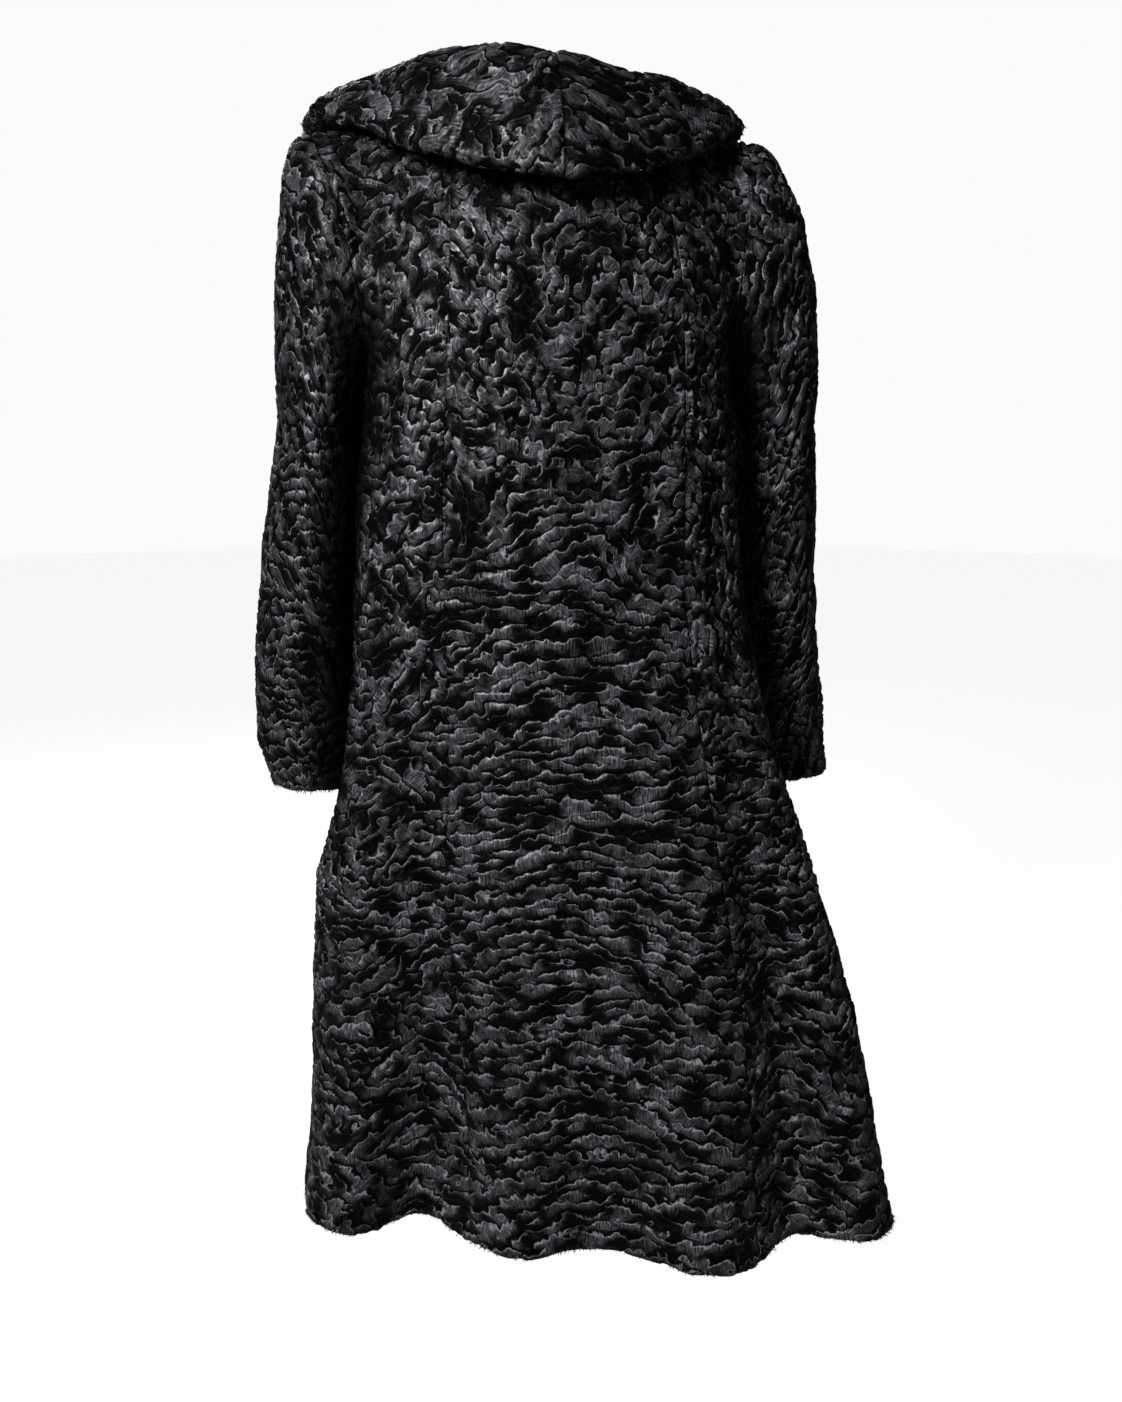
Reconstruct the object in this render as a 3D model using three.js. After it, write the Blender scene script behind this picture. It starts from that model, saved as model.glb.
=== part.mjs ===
import * as THREE from 'three';

// A long fur coat in black curly lamb, in the hollow form that it takes when it is worn.
// Millimetres, +Z up. The wearer faces -Y, so +Y is behind and +X is the wearer's left.
// The origin is on the neck's axis, at the height of the nape, where the shoulders carry it.

const HEM_Z = -1130;
const UNDERARM_Z = -235;
const WALL = 6; // leather with its flat curled fur
const SEAM_GAP = 0.3;
const RING_EASE = 0.4; // how far a sleeve's top and a shoulder's edge stay from their seam line
const SIDE_TURN = 92; // degrees from the centre back to a side seam
const NECK = { halfWidth: 76, back: 64, front: -92, sideZ: 16, napeZ: 4, pitZ: -88 };
const NECK_SHARE = 0.3; // share of a panel's top edge that is neckline
const LAP = { atNeck: 0.106, atUnderarm: 0.142, atHem: 0.083, runUp: 0.16 }; // shares of a front
const PELT = { atNeck: 0.3, atUnderarm: 0.36, atHem: 0.287 }; // half of the centre back, as shares
const NECK_COLUMN = { atNeck: 0.3, atUnderarm: 0.34, atHem: 0.36 }; // a front's column under the neck

// Body sections: half widths left and right of the neck's axis, depths behind and in front of it,
// twist as depth per width, squareness of the outline, and how far each arm presses the side in.
const SECTIONS = [
  {
    z: -235, left: 167, right: 187, back: 116, front: 150,
    twist: -0.02, square: 2.5, armLeft: 24, armRight: 20,
  },
  {
    z: -320, left: 177, right: 193, back: 116, front: 152,
    twist: -0.04, square: 2.45, armLeft: 26, armRight: 24,
  },
  {
    z: -420, left: 182, right: 201, back: 110, front: 148,
    twist: -0.07, square: 2.4, armLeft: 31, armRight: 32,
  },
  {
    z: -520, left: 191, right: 223, back: 106, front: 152,
    twist: -0.11, square: 2.3, armLeft: 43, armRight: 38,
  },
  {
    z: -620, left: 205, right: 251, back: 101, front: 160,
    twist: -0.15, square: 2.25, armLeft: 55, armRight: 44,
  },
  {
    z: -720, left: 227, right: 283, back: 95, front: 168,
    twist: -0.18, square: 2.2, armLeft: 16, armRight: 14,
  },
  {
    z: -840, left: 229, right: 319, back: 85, front: 178,
    twist: -0.21, square: 2.15, armLeft: 0, armRight: 0,
  },
  {
    z: -980, left: 234, right: 350, back: 73, front: 190,
    twist: -0.23, square: 2.1, armLeft: 0, armRight: 0,
  },
  {
    z: -1130, left: 246, right: 380, back: 58, front: 204,
    twist: -0.24, square: 2.1, armLeft: 0, armRight: 0,
  },
];

// Skirt folds: where each one starts and where it meets the hem, as turns from the centre back
// towards the wearer's left, its half width in degrees, its depth at the hem and how it grows.
const FOLDS = [
  { topZ: -430, topTurn: -22, hemTurn: -17, halfTurn: 15, depth: 50, growth: 1.0 },
  { topZ: -480, topTurn: -44, hemTurn: -38, halfTurn: 10, depth: -22, growth: 0.8 },
  { topZ: -520, topTurn: -64, hemTurn: -60, halfTurn: 13, depth: 12, growth: 1.0 },
  { topZ: -620, topTurn: 13, hemTurn: 18, halfTurn: 11, depth: 26, growth: 1.3 },
  { topZ: -420, topTurn: 30, hemTurn: 38, halfTurn: 11, depth: -48, growth: 1.2 },
  { topZ: -420, topTurn: 56, hemTurn: 62, halfTurn: 13, depth: 14, growth: 1.0 },
  { topZ: -800, topTurn: -4, hemTurn: 1, halfTurn: 8, depth: -8, growth: 1.0 },
  { topZ: -560, topTurn: 116, hemTurn: 118, halfTurn: 15, depth: 24, growth: 1.0 },
  { topZ: -600, topTurn: 142, hemTurn: 143, halfTurn: 12, depth: -20, growth: 1.0 },
  { topZ: -640, topTurn: 163, hemTurn: 163, halfTurn: 10, depth: 14, growth: 1.0 },
  { topZ: -560, topTurn: -114, hemTurn: -116, halfTurn: 15, depth: 26, growth: 1.0 },
  { topZ: -600, topTurn: -140, hemTurn: -141, halfTurn: 12, depth: -20, growth: 1.0 },
  { topZ: -640, topTurn: -160, hemTurn: -160, halfTurn: 10, depth: 14, growth: 1.0 },
];
const ARM_PRESS = { turn: 118, halfTurn: 26 };

// Armholes: the ring that a sleeve is sewn to, from the shoulder's end down to the underarm.
const ARMHOLES = {
  left: { x: 193, topZ: -11, y: -8, halfBack: 66, halfFront: 62, lean: 10, hollow: 6 },
  right: { x: 195, topZ: -7, y: -6, halfBack: 66, halfFront: 62, lean: 10, hollow: 6 },
};

// Sleeve sections down the arm: share of the length, the centre and the two half widths.
const SLEEVES = {
  left: {
    capShare: 0.4, capSquare: 0.68,
    rows: [
      { share: 0.4, x: 202, y: -34, z: -262, halfWide: 41, halfDeep: 72 },
      { share: 0.52, x: 209, y: -50, z: -335, halfWide: 46, halfDeep: 69 },
      { share: 0.66, x: 216, y: -66, z: -420, halfWide: 50, halfDeep: 64 },
      { share: 0.8, x: 222, y: -78, z: -505, halfWide: 53, halfDeep: 59 },
      { share: 0.92, x: 224, y: -86, z: -584, halfWide: 53, halfDeep: 55 },
      { share: 1, x: 217, y: -90, z: -634, halfWide: 45, halfDeep: 49 },
    ],
  },
  right: {
    capShare: 0.4, capSquare: 0.95,
    rows: [
      { share: 0.4, x: -244, y: -34, z: -262, halfWide: 46, halfDeep: 72 },
      { share: 0.52, x: -254, y: -50, z: -340, halfWide: 47, halfDeep: 69 },
      { share: 0.66, x: -261, y: -63, z: -432, halfWide: 49, halfDeep: 64 },
      { share: 0.8, x: -273, y: -74, z: -522, halfWide: 51, halfDeep: 59 },
      { share: 0.92, x: -285, y: -80, z: -600, halfWide: 52, halfDeep: 55 },
      { share: 1, x: -292, y: -84, z: -650, halfWide: 49, halfDeep: 51 },
    ],
  },
};

// Collar sections: the turn from the centre back, then how far out and how high the roll and the
// falling edge lie. It stands away from the neck and rests near the shoulders, and its right side
// has sunk by rightDrop half way to the shoulder.
const COLLAR_ROWS = [
  { turn: 0, rollOut: 88, rollUp: 42, edgeOut: 131, edgeUp: -52 },
  { turn: 30, rollOut: 90, rollUp: 46, edgeOut: 133, edgeUp: -42 },
  { turn: 55, rollOut: 95, rollUp: 48, edgeOut: 143, edgeUp: -27 },
  { turn: 75, rollOut: 99, rollUp: 44, edgeOut: 168, edgeUp: -3 },
  { turn: 90, rollOut: 101, rollUp: 38, edgeOut: 194, edgeUp: 9 },
  { turn: 105, rollOut: 102, rollUp: 28, edgeOut: 205, edgeUp: 2 },
  { turn: 122, rollOut: 104, rollUp: 12, edgeOut: 196, edgeUp: -34 },
  { turn: 142, rollOut: 106, rollUp: -16, edgeOut: 176, edgeUp: -84 },
  { turn: 160, rollOut: 109, rollUp: -44, edgeOut: 158, edgeUp: -126 },
  { turn: 177, rollOut: 112, rollUp: -63, edgeOut: 152, edgeUp: -150 },
];
const COLLAR = {
  seat: 1, standShare: 0.3, standBulge: 0.3, halfThick: 5.5, edgeHalfThick: 8.5, fallBulge: 0.66,
  endTurn: 177, cornerFrom: 160, cornerCut: 0.3, rightDrop: 15,
};
const NECK_FALL = 1.3; // how sharply the neckline dips towards the centre

// How each half falls from its top edge: the share of the way down at which it is at full width and
// depth, the power of its fall, and the share of its width from which the shoulder is round.
const EDGE_PULL = 4; // how near to the armhole a panel takes the armhole's own line
const YOKES = {
  back: { fullAt: 0.72, fallPower: 1.2, roundFrom: 0.15 },
  front: { fullAt: 0.85, fallPower: 0.9, roundFrom: 0.35 },
};

// How finely each piece is divided.
const BACK_CENTRE_STEPS = 14;
const SHOULDER_STEPS = 10; // along each shoulder seam and down the panel below it
const NECK_FRONT_STEPS = 4; // from the lap's edge to the column under the neck's side
const UPPER_SHARES = [0, 0.08, 0.17, 0.26, 0.36, 0.46, 0.57, 0.69, 0.83, 1];
const FRONT_START = SIDE_TURN + 0.0001; // just past the side seam
const SKIRT_STEPS = 17;
const SLEEVE_SHARES = [0, 0.03, 0.07, 0.12, 0.18, 0.25, 0.32, 0.4, 0.5, 0.6, 0.7, 0.8, 0.9, 1];
const COLLAR_TURNS = 20;
const COLLAR_STEPS = 9;
const EDGE_STEPS = 4;
const SEAM_TOLERANCE = 0.01; // how near to a seam's turn a column lies on it

const radians = THREE.MathUtils.degToRad;
const clamp = THREE.MathUtils.clamp;
const lerp = THREE.MathUtils.lerp;
const vector = (x, y, z) => new THREE.Vector3(x, y, z);
const mix = (a, b, share) => a.clone().lerp(b, share);

function smooth(from, to, value) {
  const share = clamp((value - from) / (to - from), 0, 1);
  return share * share * (3 - 2 * share);
}

function signedPower(value, power) {
  return Math.sign(value) * Math.abs(value) ** power;
}

// Reads a table at a value of its key column, with straight lines between the rows.
function readTable(rows, key, value) {
  const rising = rows[rows.length - 1][key] > rows[0][key];
  const sorted = rising ? rows : [...rows].reverse();
  let last = 1;
  while (last < sorted.length - 1 && sorted[last][key] < value) last += 1;
  const low = sorted[last - 1];
  const high = sorted[last];
  const share = clamp((value - low[key]) / (high[key] - low[key]), 0, 1);
  const row = {};
  for (const name of Object.keys(low)) row[name] = lerp(low[name], high[name], share);
  return row;
}

function turnBetween(a, b) {
  const gap = (((a - b) % 360) + 540) % 360;
  return gap - 180;
}

// A point of the body below the arms. The turn runs from the centre back to the wearer's left.
function skirtPoint(turn, z) {
  const row = readTable(SECTIONS, 'z', z);
  const centreX = (row.left - row.right) / 2;
  const halfWide = (row.left + row.right) / 2;
  const sine = Math.sin(radians(turn));
  const cosine = Math.cos(radians(turn));
  const halfDeep = cosine >= 0 ? row.back : row.front;
  const x = halfWide * signedPower(sine, 2 / row.square);
  const y = halfDeep * signedPower(cosine, 2 / row.square);
  const out = new THREE.Vector2(
    signedPower(sine, 2 - 2 / row.square) / halfWide,
    signedPower(cosine, 2 - 2 / row.square) / halfDeep,
  ).normalize();
  let push = 0;
  for (const fold of FOLDS) {
    const grown = clamp((fold.topZ - z) / (fold.topZ - HEM_Z), 0, 1);
    const middle = lerp(fold.topTurn, fold.hemTurn, grown);
    const across = turnBetween(turn, middle) / fold.halfTurn;
    push += fold.depth * grown ** fold.growth * Math.exp(-across * across);
  }
  const press = turn >= 0 ? row.armLeft : row.armRight;
  const reach = turnBetween(Math.abs(turn), ARM_PRESS.turn) / ARM_PRESS.halfTurn;
  push -= press * Math.exp(-reach * reach);
  return vector(centreX + x + out.x * push, y + out.y * push + row.twist * x, z);
}

function armholePoint(angle, side) {
  const ring = side > 0 ? ARMHOLES.left : ARMHOLES.right;
  const sine = Math.sin(angle);
  const cosine = Math.cos(angle);
  const halfDeep = sine >= 0 ? ring.halfBack : ring.halfFront;
  const x = ring.x + ring.lean * cosine - ring.hollow * sine * sine;
  const z = (ring.topZ + UNDERARM_Z) / 2 + ((ring.topZ - UNDERARM_Z) / 2) * cosine;
  const underarm = skirtPoint(side * SIDE_TURN, UNDERARM_Z);
  const low = (1 - cosine) / 2;
  const restX = side * (ring.x - ring.lean);
  const shift = vector(underarm.x - restX, underarm.y - ring.y, 0).multiplyScalar(low);
  return vector(side * x, ring.y + halfDeep * sine, z).add(shift);
}

// The top edge of a panel: neckline from the centre, then the shoulder seam.
function topPoint(share, side, front) {
  const around = (clamp(share / NECK_SHARE, 0, 1) * Math.PI) / 2;
  const middleY = front ? NECK.front : NECK.back;
  const middleZ = front ? NECK.pitZ : NECK.napeZ;
  if (share <= NECK_SHARE) {
    const x = side * NECK.halfWidth * Math.sin(around);
    const z = lerp(NECK.sideZ, middleZ, Math.cos(around) ** NECK_FALL);
    return vector(x, middleY * Math.cos(around), z);
  }
  const neckSide = vector(side * NECK.halfWidth, 0, NECK.sideZ);
  return neckSide.lerp(armholePoint(0, side), (share - NECK_SHARE) / (1 - NECK_SHARE));
}

// A point of the body above the underarm, down one panel from its top edge.
function yokePoint(share, down, side, front) {
  const turn = side * (front ? 180 - (180 - SIDE_TURN) * share : SIDE_TURN * share);
  const low = skirtPoint(turn, UNDERARM_Z);
  const high = topPoint(share, side, front);
  const yoke = front ? YOKES.front : YOKES.back;
  const across = Math.sin((Math.PI / 2) * clamp(down / yoke.fullAt, 0, 1));
  const round = (1 - Math.cos(Math.PI * down)) / 2;
  const fall = lerp(down ** yoke.fallPower, round, smooth(yoke.roundFrom, 1, share));
  const base = vector(
    lerp(high.x, low.x, across),
    lerp(high.y, low.y, across),
    lerp(high.z, low.z, fall),
  );
  const corner = topPoint(1, side, front);
  const seam = armholePoint(Math.PI * down * (front ? -1 : 1), side);
  const under = skirtPoint(side * SIDE_TURN, UNDERARM_Z);
  const fromCorner = high.sub(corner).multiplyScalar(1 - down);
  const fromUnderarm = low.clone().sub(under).multiplyScalar(down);
  return base.lerp(seam.add(fromCorner).add(fromUnderarm), share ** EDGE_PULL);
}

// Any point of the body. Down runs 0 to 1 above the underarm and 1 to 2 from there to the hem.
function bodyPoint(turn, down) {
  const wrapped = turnBetween(turn, 0);
  if (down >= 1) return skirtPoint(wrapped, lerp(UNDERARM_Z, HEM_Z, down - 1));
  const side = wrapped < 0 ? -1 : 1;
  const front = Math.abs(wrapped) > SIDE_TURN;
  const share = front ? (180 - Math.abs(wrapped)) / (180 - SIDE_TURN) : Math.abs(wrapped) / SIDE_TURN;
  return yokePoint(share, Math.max(down, 0), side, front);
}

function crossNormal(one, other) {
  return new THREE.Vector3().crossVectors(one, other).normalize();
}

// The outward direction at a point of one panel; a seam takes the mean of its two sides.
function panelNormal(turn, down, lowTurn, highTurn) {
  const stepTurn = 0.2;
  const stepDown = 0.002;
  const free = down >= 1;
  const before = free ? turn - stepTurn : Math.max(turn - stepTurn, lowTurn);
  const after = free ? turn + stepTurn : Math.min(turn + stepTurn, highTurn);
  const across = bodyPoint(after, down).sub(bodyPoint(before, down));
  const above = Math.max(down - stepDown, 0);
  const below = Math.min(down + stepDown, 2);
  return crossNormal(across, bodyPoint(turn, below).sub(bodyPoint(turn, above)));
}

// The direction in which a wall is thick at a seam. Where the two walls meet in a ridge, or nearly
// flat, it is the mitre between them; in a valley each keeps its own. The other wall leaves by away.
function seamOffset(one, other, away = vector(0, 0, 0)) {
  const facing = one.dot(other);
  const mitre = one.clone().add(other).multiplyScalar(1 / (1 + Math.max(facing, -0.3)));
  const share = Math.max(smooth(0, 0.5, facing), smooth(0.05, 0.25, -away.dot(one)));
  return one.clone().lerp(mitre, share);
}

function shoulderOffset(turn) {
  const size = Math.abs(turn);
  const side = Math.sign(turn);
  const share = size > SIDE_TURN ? (180 - size) / (180 - SIDE_TURN) : size / SIDE_TURN;
  const backTurn = side * SIDE_TURN * share;
  const frontTurn = side * (180 - (180 - SIDE_TURN) * share);
  const back = panelNormal(backTurn, 0, -SIDE_TURN, SIDE_TURN);
  const limits = side > 0 ? [FRONT_START, 360] : [-360, -FRONT_START];
  const front = panelNormal(frontTurn, 0, ...limits);
  return seamOffset(back, front);
}

// A point of a sleeve. The angle is 0 on the outer side and turns towards the back.
function sleevePoint(angle, share, side) {
  const sleeve = side > 0 ? SLEEVES.left : SLEEVES.right;
  const row = readTable(sleeve.rows, 'share', Math.max(share, sleeve.capShare));
  const around = vector(side * row.halfWide * Math.cos(angle), row.halfDeep * Math.sin(angle), 0);
  const tube = vector(row.x, row.y, row.z).add(around);
  if (share >= sleeve.capShare) return tube;
  const grown = (Math.PI / 2) * (share / sleeve.capShare);
  const square = lerp(1, sleeve.capSquare, (1 + Math.cos(angle)) / 2);
  const out = Math.sin(grown) ** square;
  const ring = armholePoint(angle, side);
  const drop = 1 - Math.cos(grown);
  return vector(lerp(ring.x, tube.x, out), lerp(ring.y, tube.y, drop), lerp(ring.z, tube.z, drop));
}

function sleeveNormal(angle, share, side) {
  const stepAngle = 0.02;
  const stepShare = 0.004;
  const before = sleevePoint(angle - stepAngle, share, side);
  const after = sleevePoint(angle + stepAngle, share, side);
  const above = sleevePoint(angle, Math.max(share - stepShare, 0), side);
  const below = sleevePoint(angle, Math.min(share + stepShare, 1), side);
  return crossNormal(below.sub(above), after.sub(before)).multiplyScalar(side);
}

// The body's outward direction at its armhole edge.
function armholeBodyNormal(angle, side) {
  const down = Math.abs(angle) / Math.PI;
  if (down === 0) return shoulderOffset(side * SIDE_TURN).normalize();
  if (down >= 1) return panelNormal(side * SIDE_TURN, 1, -360, 360);
  if (angle > 0) return panelNormal(side * SIDE_TURN, down, -SIDE_TURN, SIDE_TURN);
  const turn = side * FRONT_START;
  return panelNormal(turn, down, side > 0 ? turn : -360, side > 0 ? 360 : turn);
}

// The two walls at an armhole: each one's outward normal and the direction in which it leaves.
function armholeWalls(angle, side) {
  const ring = armholePoint(angle, side);
  const down = Math.abs(angle) / Math.PI;
  const inside = 2;
  const turn = side * (angle >= 0 ? SIDE_TURN - inside : SIDE_TURN + inside);
  const bodyAway = down < 1 ? bodyPoint(turn, down) : bodyPoint(side * SIDE_TURN, 1 + inside / 100);
  return {
    body: armholeBodyNormal(angle, side),
    bodyAway: bodyAway.sub(ring).normalize(),
    sleeve: sleeveNormal(angle, 0, side),
    sleeveAway: sleevePoint(angle, 0.02, side).sub(ring).normalize(),
  };
}

function closedMesh(name, corners, faces, colour) {
  const volume = faces.reduce((sum, [a, b, c]) => {
    const flat = new THREE.Vector3().crossVectors(corners[b], corners[c]);
    return sum + corners[a].dot(flat);
  }, 0);
  const ordered = volume > 0 ? faces : faces.map(([a, b, c]) => [a, c, b]);
  const geometry = new THREE.BufferGeometry();
  const places = corners.flatMap((point) => [point.x, point.y, point.z]);
  geometry.setAttribute('position', new THREE.Float32BufferAttribute(places, 3));
  geometry.setIndex(ordered.flat());
  geometry.computeVertexNormals();
  const fur = new THREE.MeshStandardMaterial({ color: colour, roughness: 0.55, metalness: 0 });
  const mesh = new THREE.Mesh(geometry, fur);
  mesh.name = name;
  return mesh;
}

function addQuad(faces, a, b, c, d) {
  faces.push([a, b, c], [a, c, d]);
}

// Moves an edge point towards its neighbour inside the piece by half of the gap at a seam.
function easeEdge(point, inner) {
  return inner.clone().sub(point).setLength(SEAM_GAP / 2);
}

// A wall from two matching grids of points, closed along its four edges.
function wallFromGrids(name, outer, inner, colour) {
  const rows = outer.length;
  const columns = outer[0].length;
  const corners = [...outer.flat(), ...inner.flat()];
  const at = (layer, row, column) => (layer * rows + row) * columns + column;
  const faces = [];
  for (let row = 0; row < rows - 1; row += 1) {
    for (let column = 0; column < columns - 1; column += 1) {
      const next = column + 1;
      addQuad(faces, at(0, row, column), at(0, row + 1, column), at(0, row + 1, next), at(0, row, next));
      addQuad(faces, at(1, row, column), at(1, row, next), at(1, row + 1, next), at(1, row + 1, column));
    }
  }
  for (let row = 0; row < rows - 1; row += 1) {
    const last = columns - 1;
    addQuad(faces, at(0, row, 0), at(1, row, 0), at(1, row + 1, 0), at(0, row + 1, 0));
    addQuad(faces, at(0, row, last), at(0, row + 1, last), at(1, row + 1, last), at(1, row, last));
  }
  for (let column = 0; column < columns - 1; column += 1) {
    const last = rows - 1;
    const next = column + 1;
    addQuad(faces, at(0, 0, column), at(0, 0, next), at(1, 0, next), at(1, 0, column));
    addQuad(faces, at(0, last, column), at(1, last, column), at(1, last, next), at(0, last, next));
  }
  return closedMesh(name, corners, faces, colour);
}

const SKIRT_DOWNS = Array.from({ length: SKIRT_STEPS }, (_, step) => 1 + (step + 1) / SKIRT_STEPS);
const BODY_DOWNS = [...UPPER_SHARES, ...SKIRT_DOWNS];

function shareDown(table, down) {
  if (down <= 1) return lerp(table.atNeck, table.atUnderarm, down);
  return lerp(table.atUnderarm, table.atHem, down - 1);
}

function peltTurn(down) {
  return SIDE_TURN * shareDown(PELT, down);
}

function lapTurn(down) {
  return (180 - SIDE_TURN) * shareDown(LAP, down);
}

function evenTurns(from, to, steps) {
  return Array.from({ length: steps + 1 }, (_, step) => lerp(from, to, step / steps));
}

// The direction and length in which a body panel's wall is thick at one of its points.
function panelOffset(turn, down, lowTurn, highTurn) {
  const size = Math.abs(turn);
  const side = Math.sign(turn);
  if (down <= 1 && Math.abs(size - SIDE_TURN) < SEAM_TOLERANCE) {
    const angle = Math.PI * down * (size > SIDE_TURN ? -1 : 1);
    const walls = armholeWalls(angle, side);
    return seamOffset(walls.body, walls.sleeve, walls.sleeveAway);
  }
  const neckBack = SIDE_TURN * NECK_SHARE;
  const neckFront = 180 - (180 - SIDE_TURN) * NECK_SHARE;
  const onShoulder = size > neckBack - SEAM_TOLERANCE && size < neckFront + SEAM_TOLERANCE;
  if (down === 0 && onShoulder) return shoulderOffset(turn);
  return panelNormal(turn, down, lowTurn, highTurn);
}

// One body panel between two edge turns; turnsAt gives its columns and liftAt moves it outwards.
function bodyPanel(name, turnsAt, lowTurn, highTurn, colour, liftAt = () => 0) {
  const outer = BODY_DOWNS.map((down) => turnsAt(down).map((turn) => {
    const offset = panelOffset(turn, down, lowTurn, highTurn);
    return bodyPoint(turn, down).add(offset.multiplyScalar(liftAt(turn)));
  }));
  const inner = BODY_DOWNS.map((down, row) => turnsAt(down).map((turn, column) => {
    const offset = panelOffset(turn, down, lowTurn, highTurn);
    return outer[row][column].clone().sub(offset.multiplyScalar(WALL));
  }));
  for (const grid of [outer, inner]) {
    const eased = grid.map((line, row) => line.map((point, column) => {
      const last = line.length - 1;
      const moved = point.clone();
      const lowered = RING_EASE + liftAt(turnsAt(BODY_DOWNS[row])[column]) / 2;
      if (row === 0) moved.add(grid[1][column].clone().sub(point).setLength(lowered));
      if (column === 0) moved.add(easeEdge(point, line[1]));
      if (column === last) moved.add(easeEdge(point, line[last - 1]));
      return moved;
    }));
    grid.splice(0, grid.length, ...eased);
  }
  return wallFromGrids(name, outer, inner, colour);
}

function sleeve(name, side, colour) {
  const backAngles = UPPER_SHARES.map((share) => Math.PI * share);
  const frontAngles = UPPER_SHARES.slice(1, -1).map((share) => -Math.PI * share).reverse();
  const angles = [...backAngles, ...frontAngles];
  const outer = SLEEVE_SHARES.map((share) => angles.map((angle) => sleevePoint(angle, share, side)));
  const inner = SLEEVE_SHARES.map((share, row) => angles.map((angle, column) => {
    const walls = armholeWalls(angle, side);
    const joined = seamOffset(walls.sleeve, walls.body, walls.bodyAway);
    const offset = share === 0 ? joined : sleeveNormal(angle, share, side);
    return outer[row][column].clone().sub(offset.multiplyScalar(WALL));
  }));
  for (const grid of [outer, inner]) {
    grid[0] = grid[0].map((point, column) => {
      const lowered = grid[1][column].clone().sub(point).setLength(RING_EASE);
      return lowered.add(point);
    });
  }
  const count = angles.length;
  const rows = SLEEVE_SHARES.length;
  const corners = [...outer.flat(), ...inner.flat()];
  const at = (layer, row, column) => (layer * rows + row) * count + (column % count);
  const faces = [];
  for (let row = 0; row < rows - 1; row += 1) {
    for (let column = 0; column < count; column += 1) {
      const next = column + 1;
      addQuad(faces, at(0, row, column), at(0, row + 1, column), at(0, row + 1, next), at(0, row, next));
      addQuad(faces, at(1, row, column), at(1, row, next), at(1, row + 1, next), at(1, row + 1, column));
    }
  }
  for (let column = 0; column < count; column += 1) {
    const next = column + 1;
    const last = rows - 1;
    addQuad(faces, at(0, 0, column), at(0, 0, next), at(1, 0, next), at(1, 0, column));
    addQuad(faces, at(0, last, column), at(1, last, column), at(1, last, next), at(0, last, next));
  }
  return closedMesh(name, corners, faces, colour);
}

// The neck seam's corners on one side: each column's turn around the neck, its edge point and the
// point a wall's width towards the neck. The collar stands on this line.
function neckCorners(side) {
  const backNeck = evenTurns(0, NECK_SHARE, BACK_CENTRE_STEPS / 2);
  const frontNeck = frontShares(0).filter((share) => share < NECK_SHARE * (1 - SEAM_TOLERANCE)).reverse();
  const quarter = 90 / NECK_SHARE;
  const back = backNeck.map((share) => ({ around: quarter * share, turn: SIDE_TURN * share }));
  const front = frontNeck.map((share) => ({ around: 180 - quarter * share, turn: frontTurn(share) }));
  return [...back, ...front].map(({ around, turn }) => {
    const outer = bodyPoint(side * turn, 0);
    outer.z += COLLAR.seat;
    const inward = vector(-outer.x, -outer.y, 0).setLength(WALL);
    return { around, outer, inner: outer.clone().add(inward) };
  });
}

const NECK_CORNERS = { left: neckCorners(1), right: neckCorners(-1) };

// The collar's two lowest points at one turn.
function neckSeam(turn, side) {
  const corners = side > 0 ? NECK_CORNERS.left : NECK_CORNERS.right;
  let last = 1;
  while (last < corners.length - 1 && corners[last].around < turn) last += 1;
  const low = corners[last - 1];
  const high = corners[last];
  const share = (turn - low.around) / (high.around - low.around);
  return { outer: mix(low.outer, high.outer, share), inner: mix(low.inner, high.inner, share) };
}

function bend(start, control, end, share) {
  const rest = 1 - share;
  return rest * rest * start + 2 * rest * share * control + share * share * end;
}

// The middle line of the collar at one turn: out from the neck's axis, up, and the turn itself.
function collarLine(turn, share, side) {
  const row = readTable(COLLAR_ROWS, 'turn', turn);
  if (side < 0) row.rollUp -= COLLAR.rightDrop * Math.sin(radians(2 * Math.min(turn, 90))) ** 2;
  const seam = neckSeam(turn, side);
  const base = mix(seam.outer, seam.inner, 0.5);
  const baseOut = Math.hypot(base.x, base.y);
  const baseTurn = THREE.MathUtils.radToDeg(Math.atan2(side * base.x, base.y));
  const corner = clamp((turn - COLLAR.cornerFrom) / (COLLAR.endTurn - COLLAR.cornerFrom), 0, 1);
  const cut = COLLAR.cornerCut * (1 - Math.sqrt(1 - corner * corner));
  const edgeOut = lerp(row.edgeOut, row.rollOut, cut);
  const edgeUp = lerp(row.edgeUp, row.rollUp, cut);
  const along = lerp(baseTurn, turn, smooth(0, 0.4, share));
  if (share < COLLAR.standShare) {
    const part = share / COLLAR.standShare;
    const control = lerp(baseOut, row.rollOut, COLLAR.standBulge);
    const up = bend(base.z, row.rollUp, row.rollUp, part);
    return { out: bend(baseOut, control, row.rollOut, part), up, along };
  }
  const part = (share - COLLAR.standShare) / (1 - COLLAR.standShare);
  const control = lerp(row.rollOut, edgeOut, COLLAR.fallBulge);
  const up = bend(row.rollUp, row.rollUp, edgeUp, part);
  return { out: bend(row.rollOut, control, edgeOut, part), up, along };
}

function collarPlace(out, up, along, side) {
  return vector(side * out * Math.sin(radians(along)), out * Math.cos(radians(along)), up);
}

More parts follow.
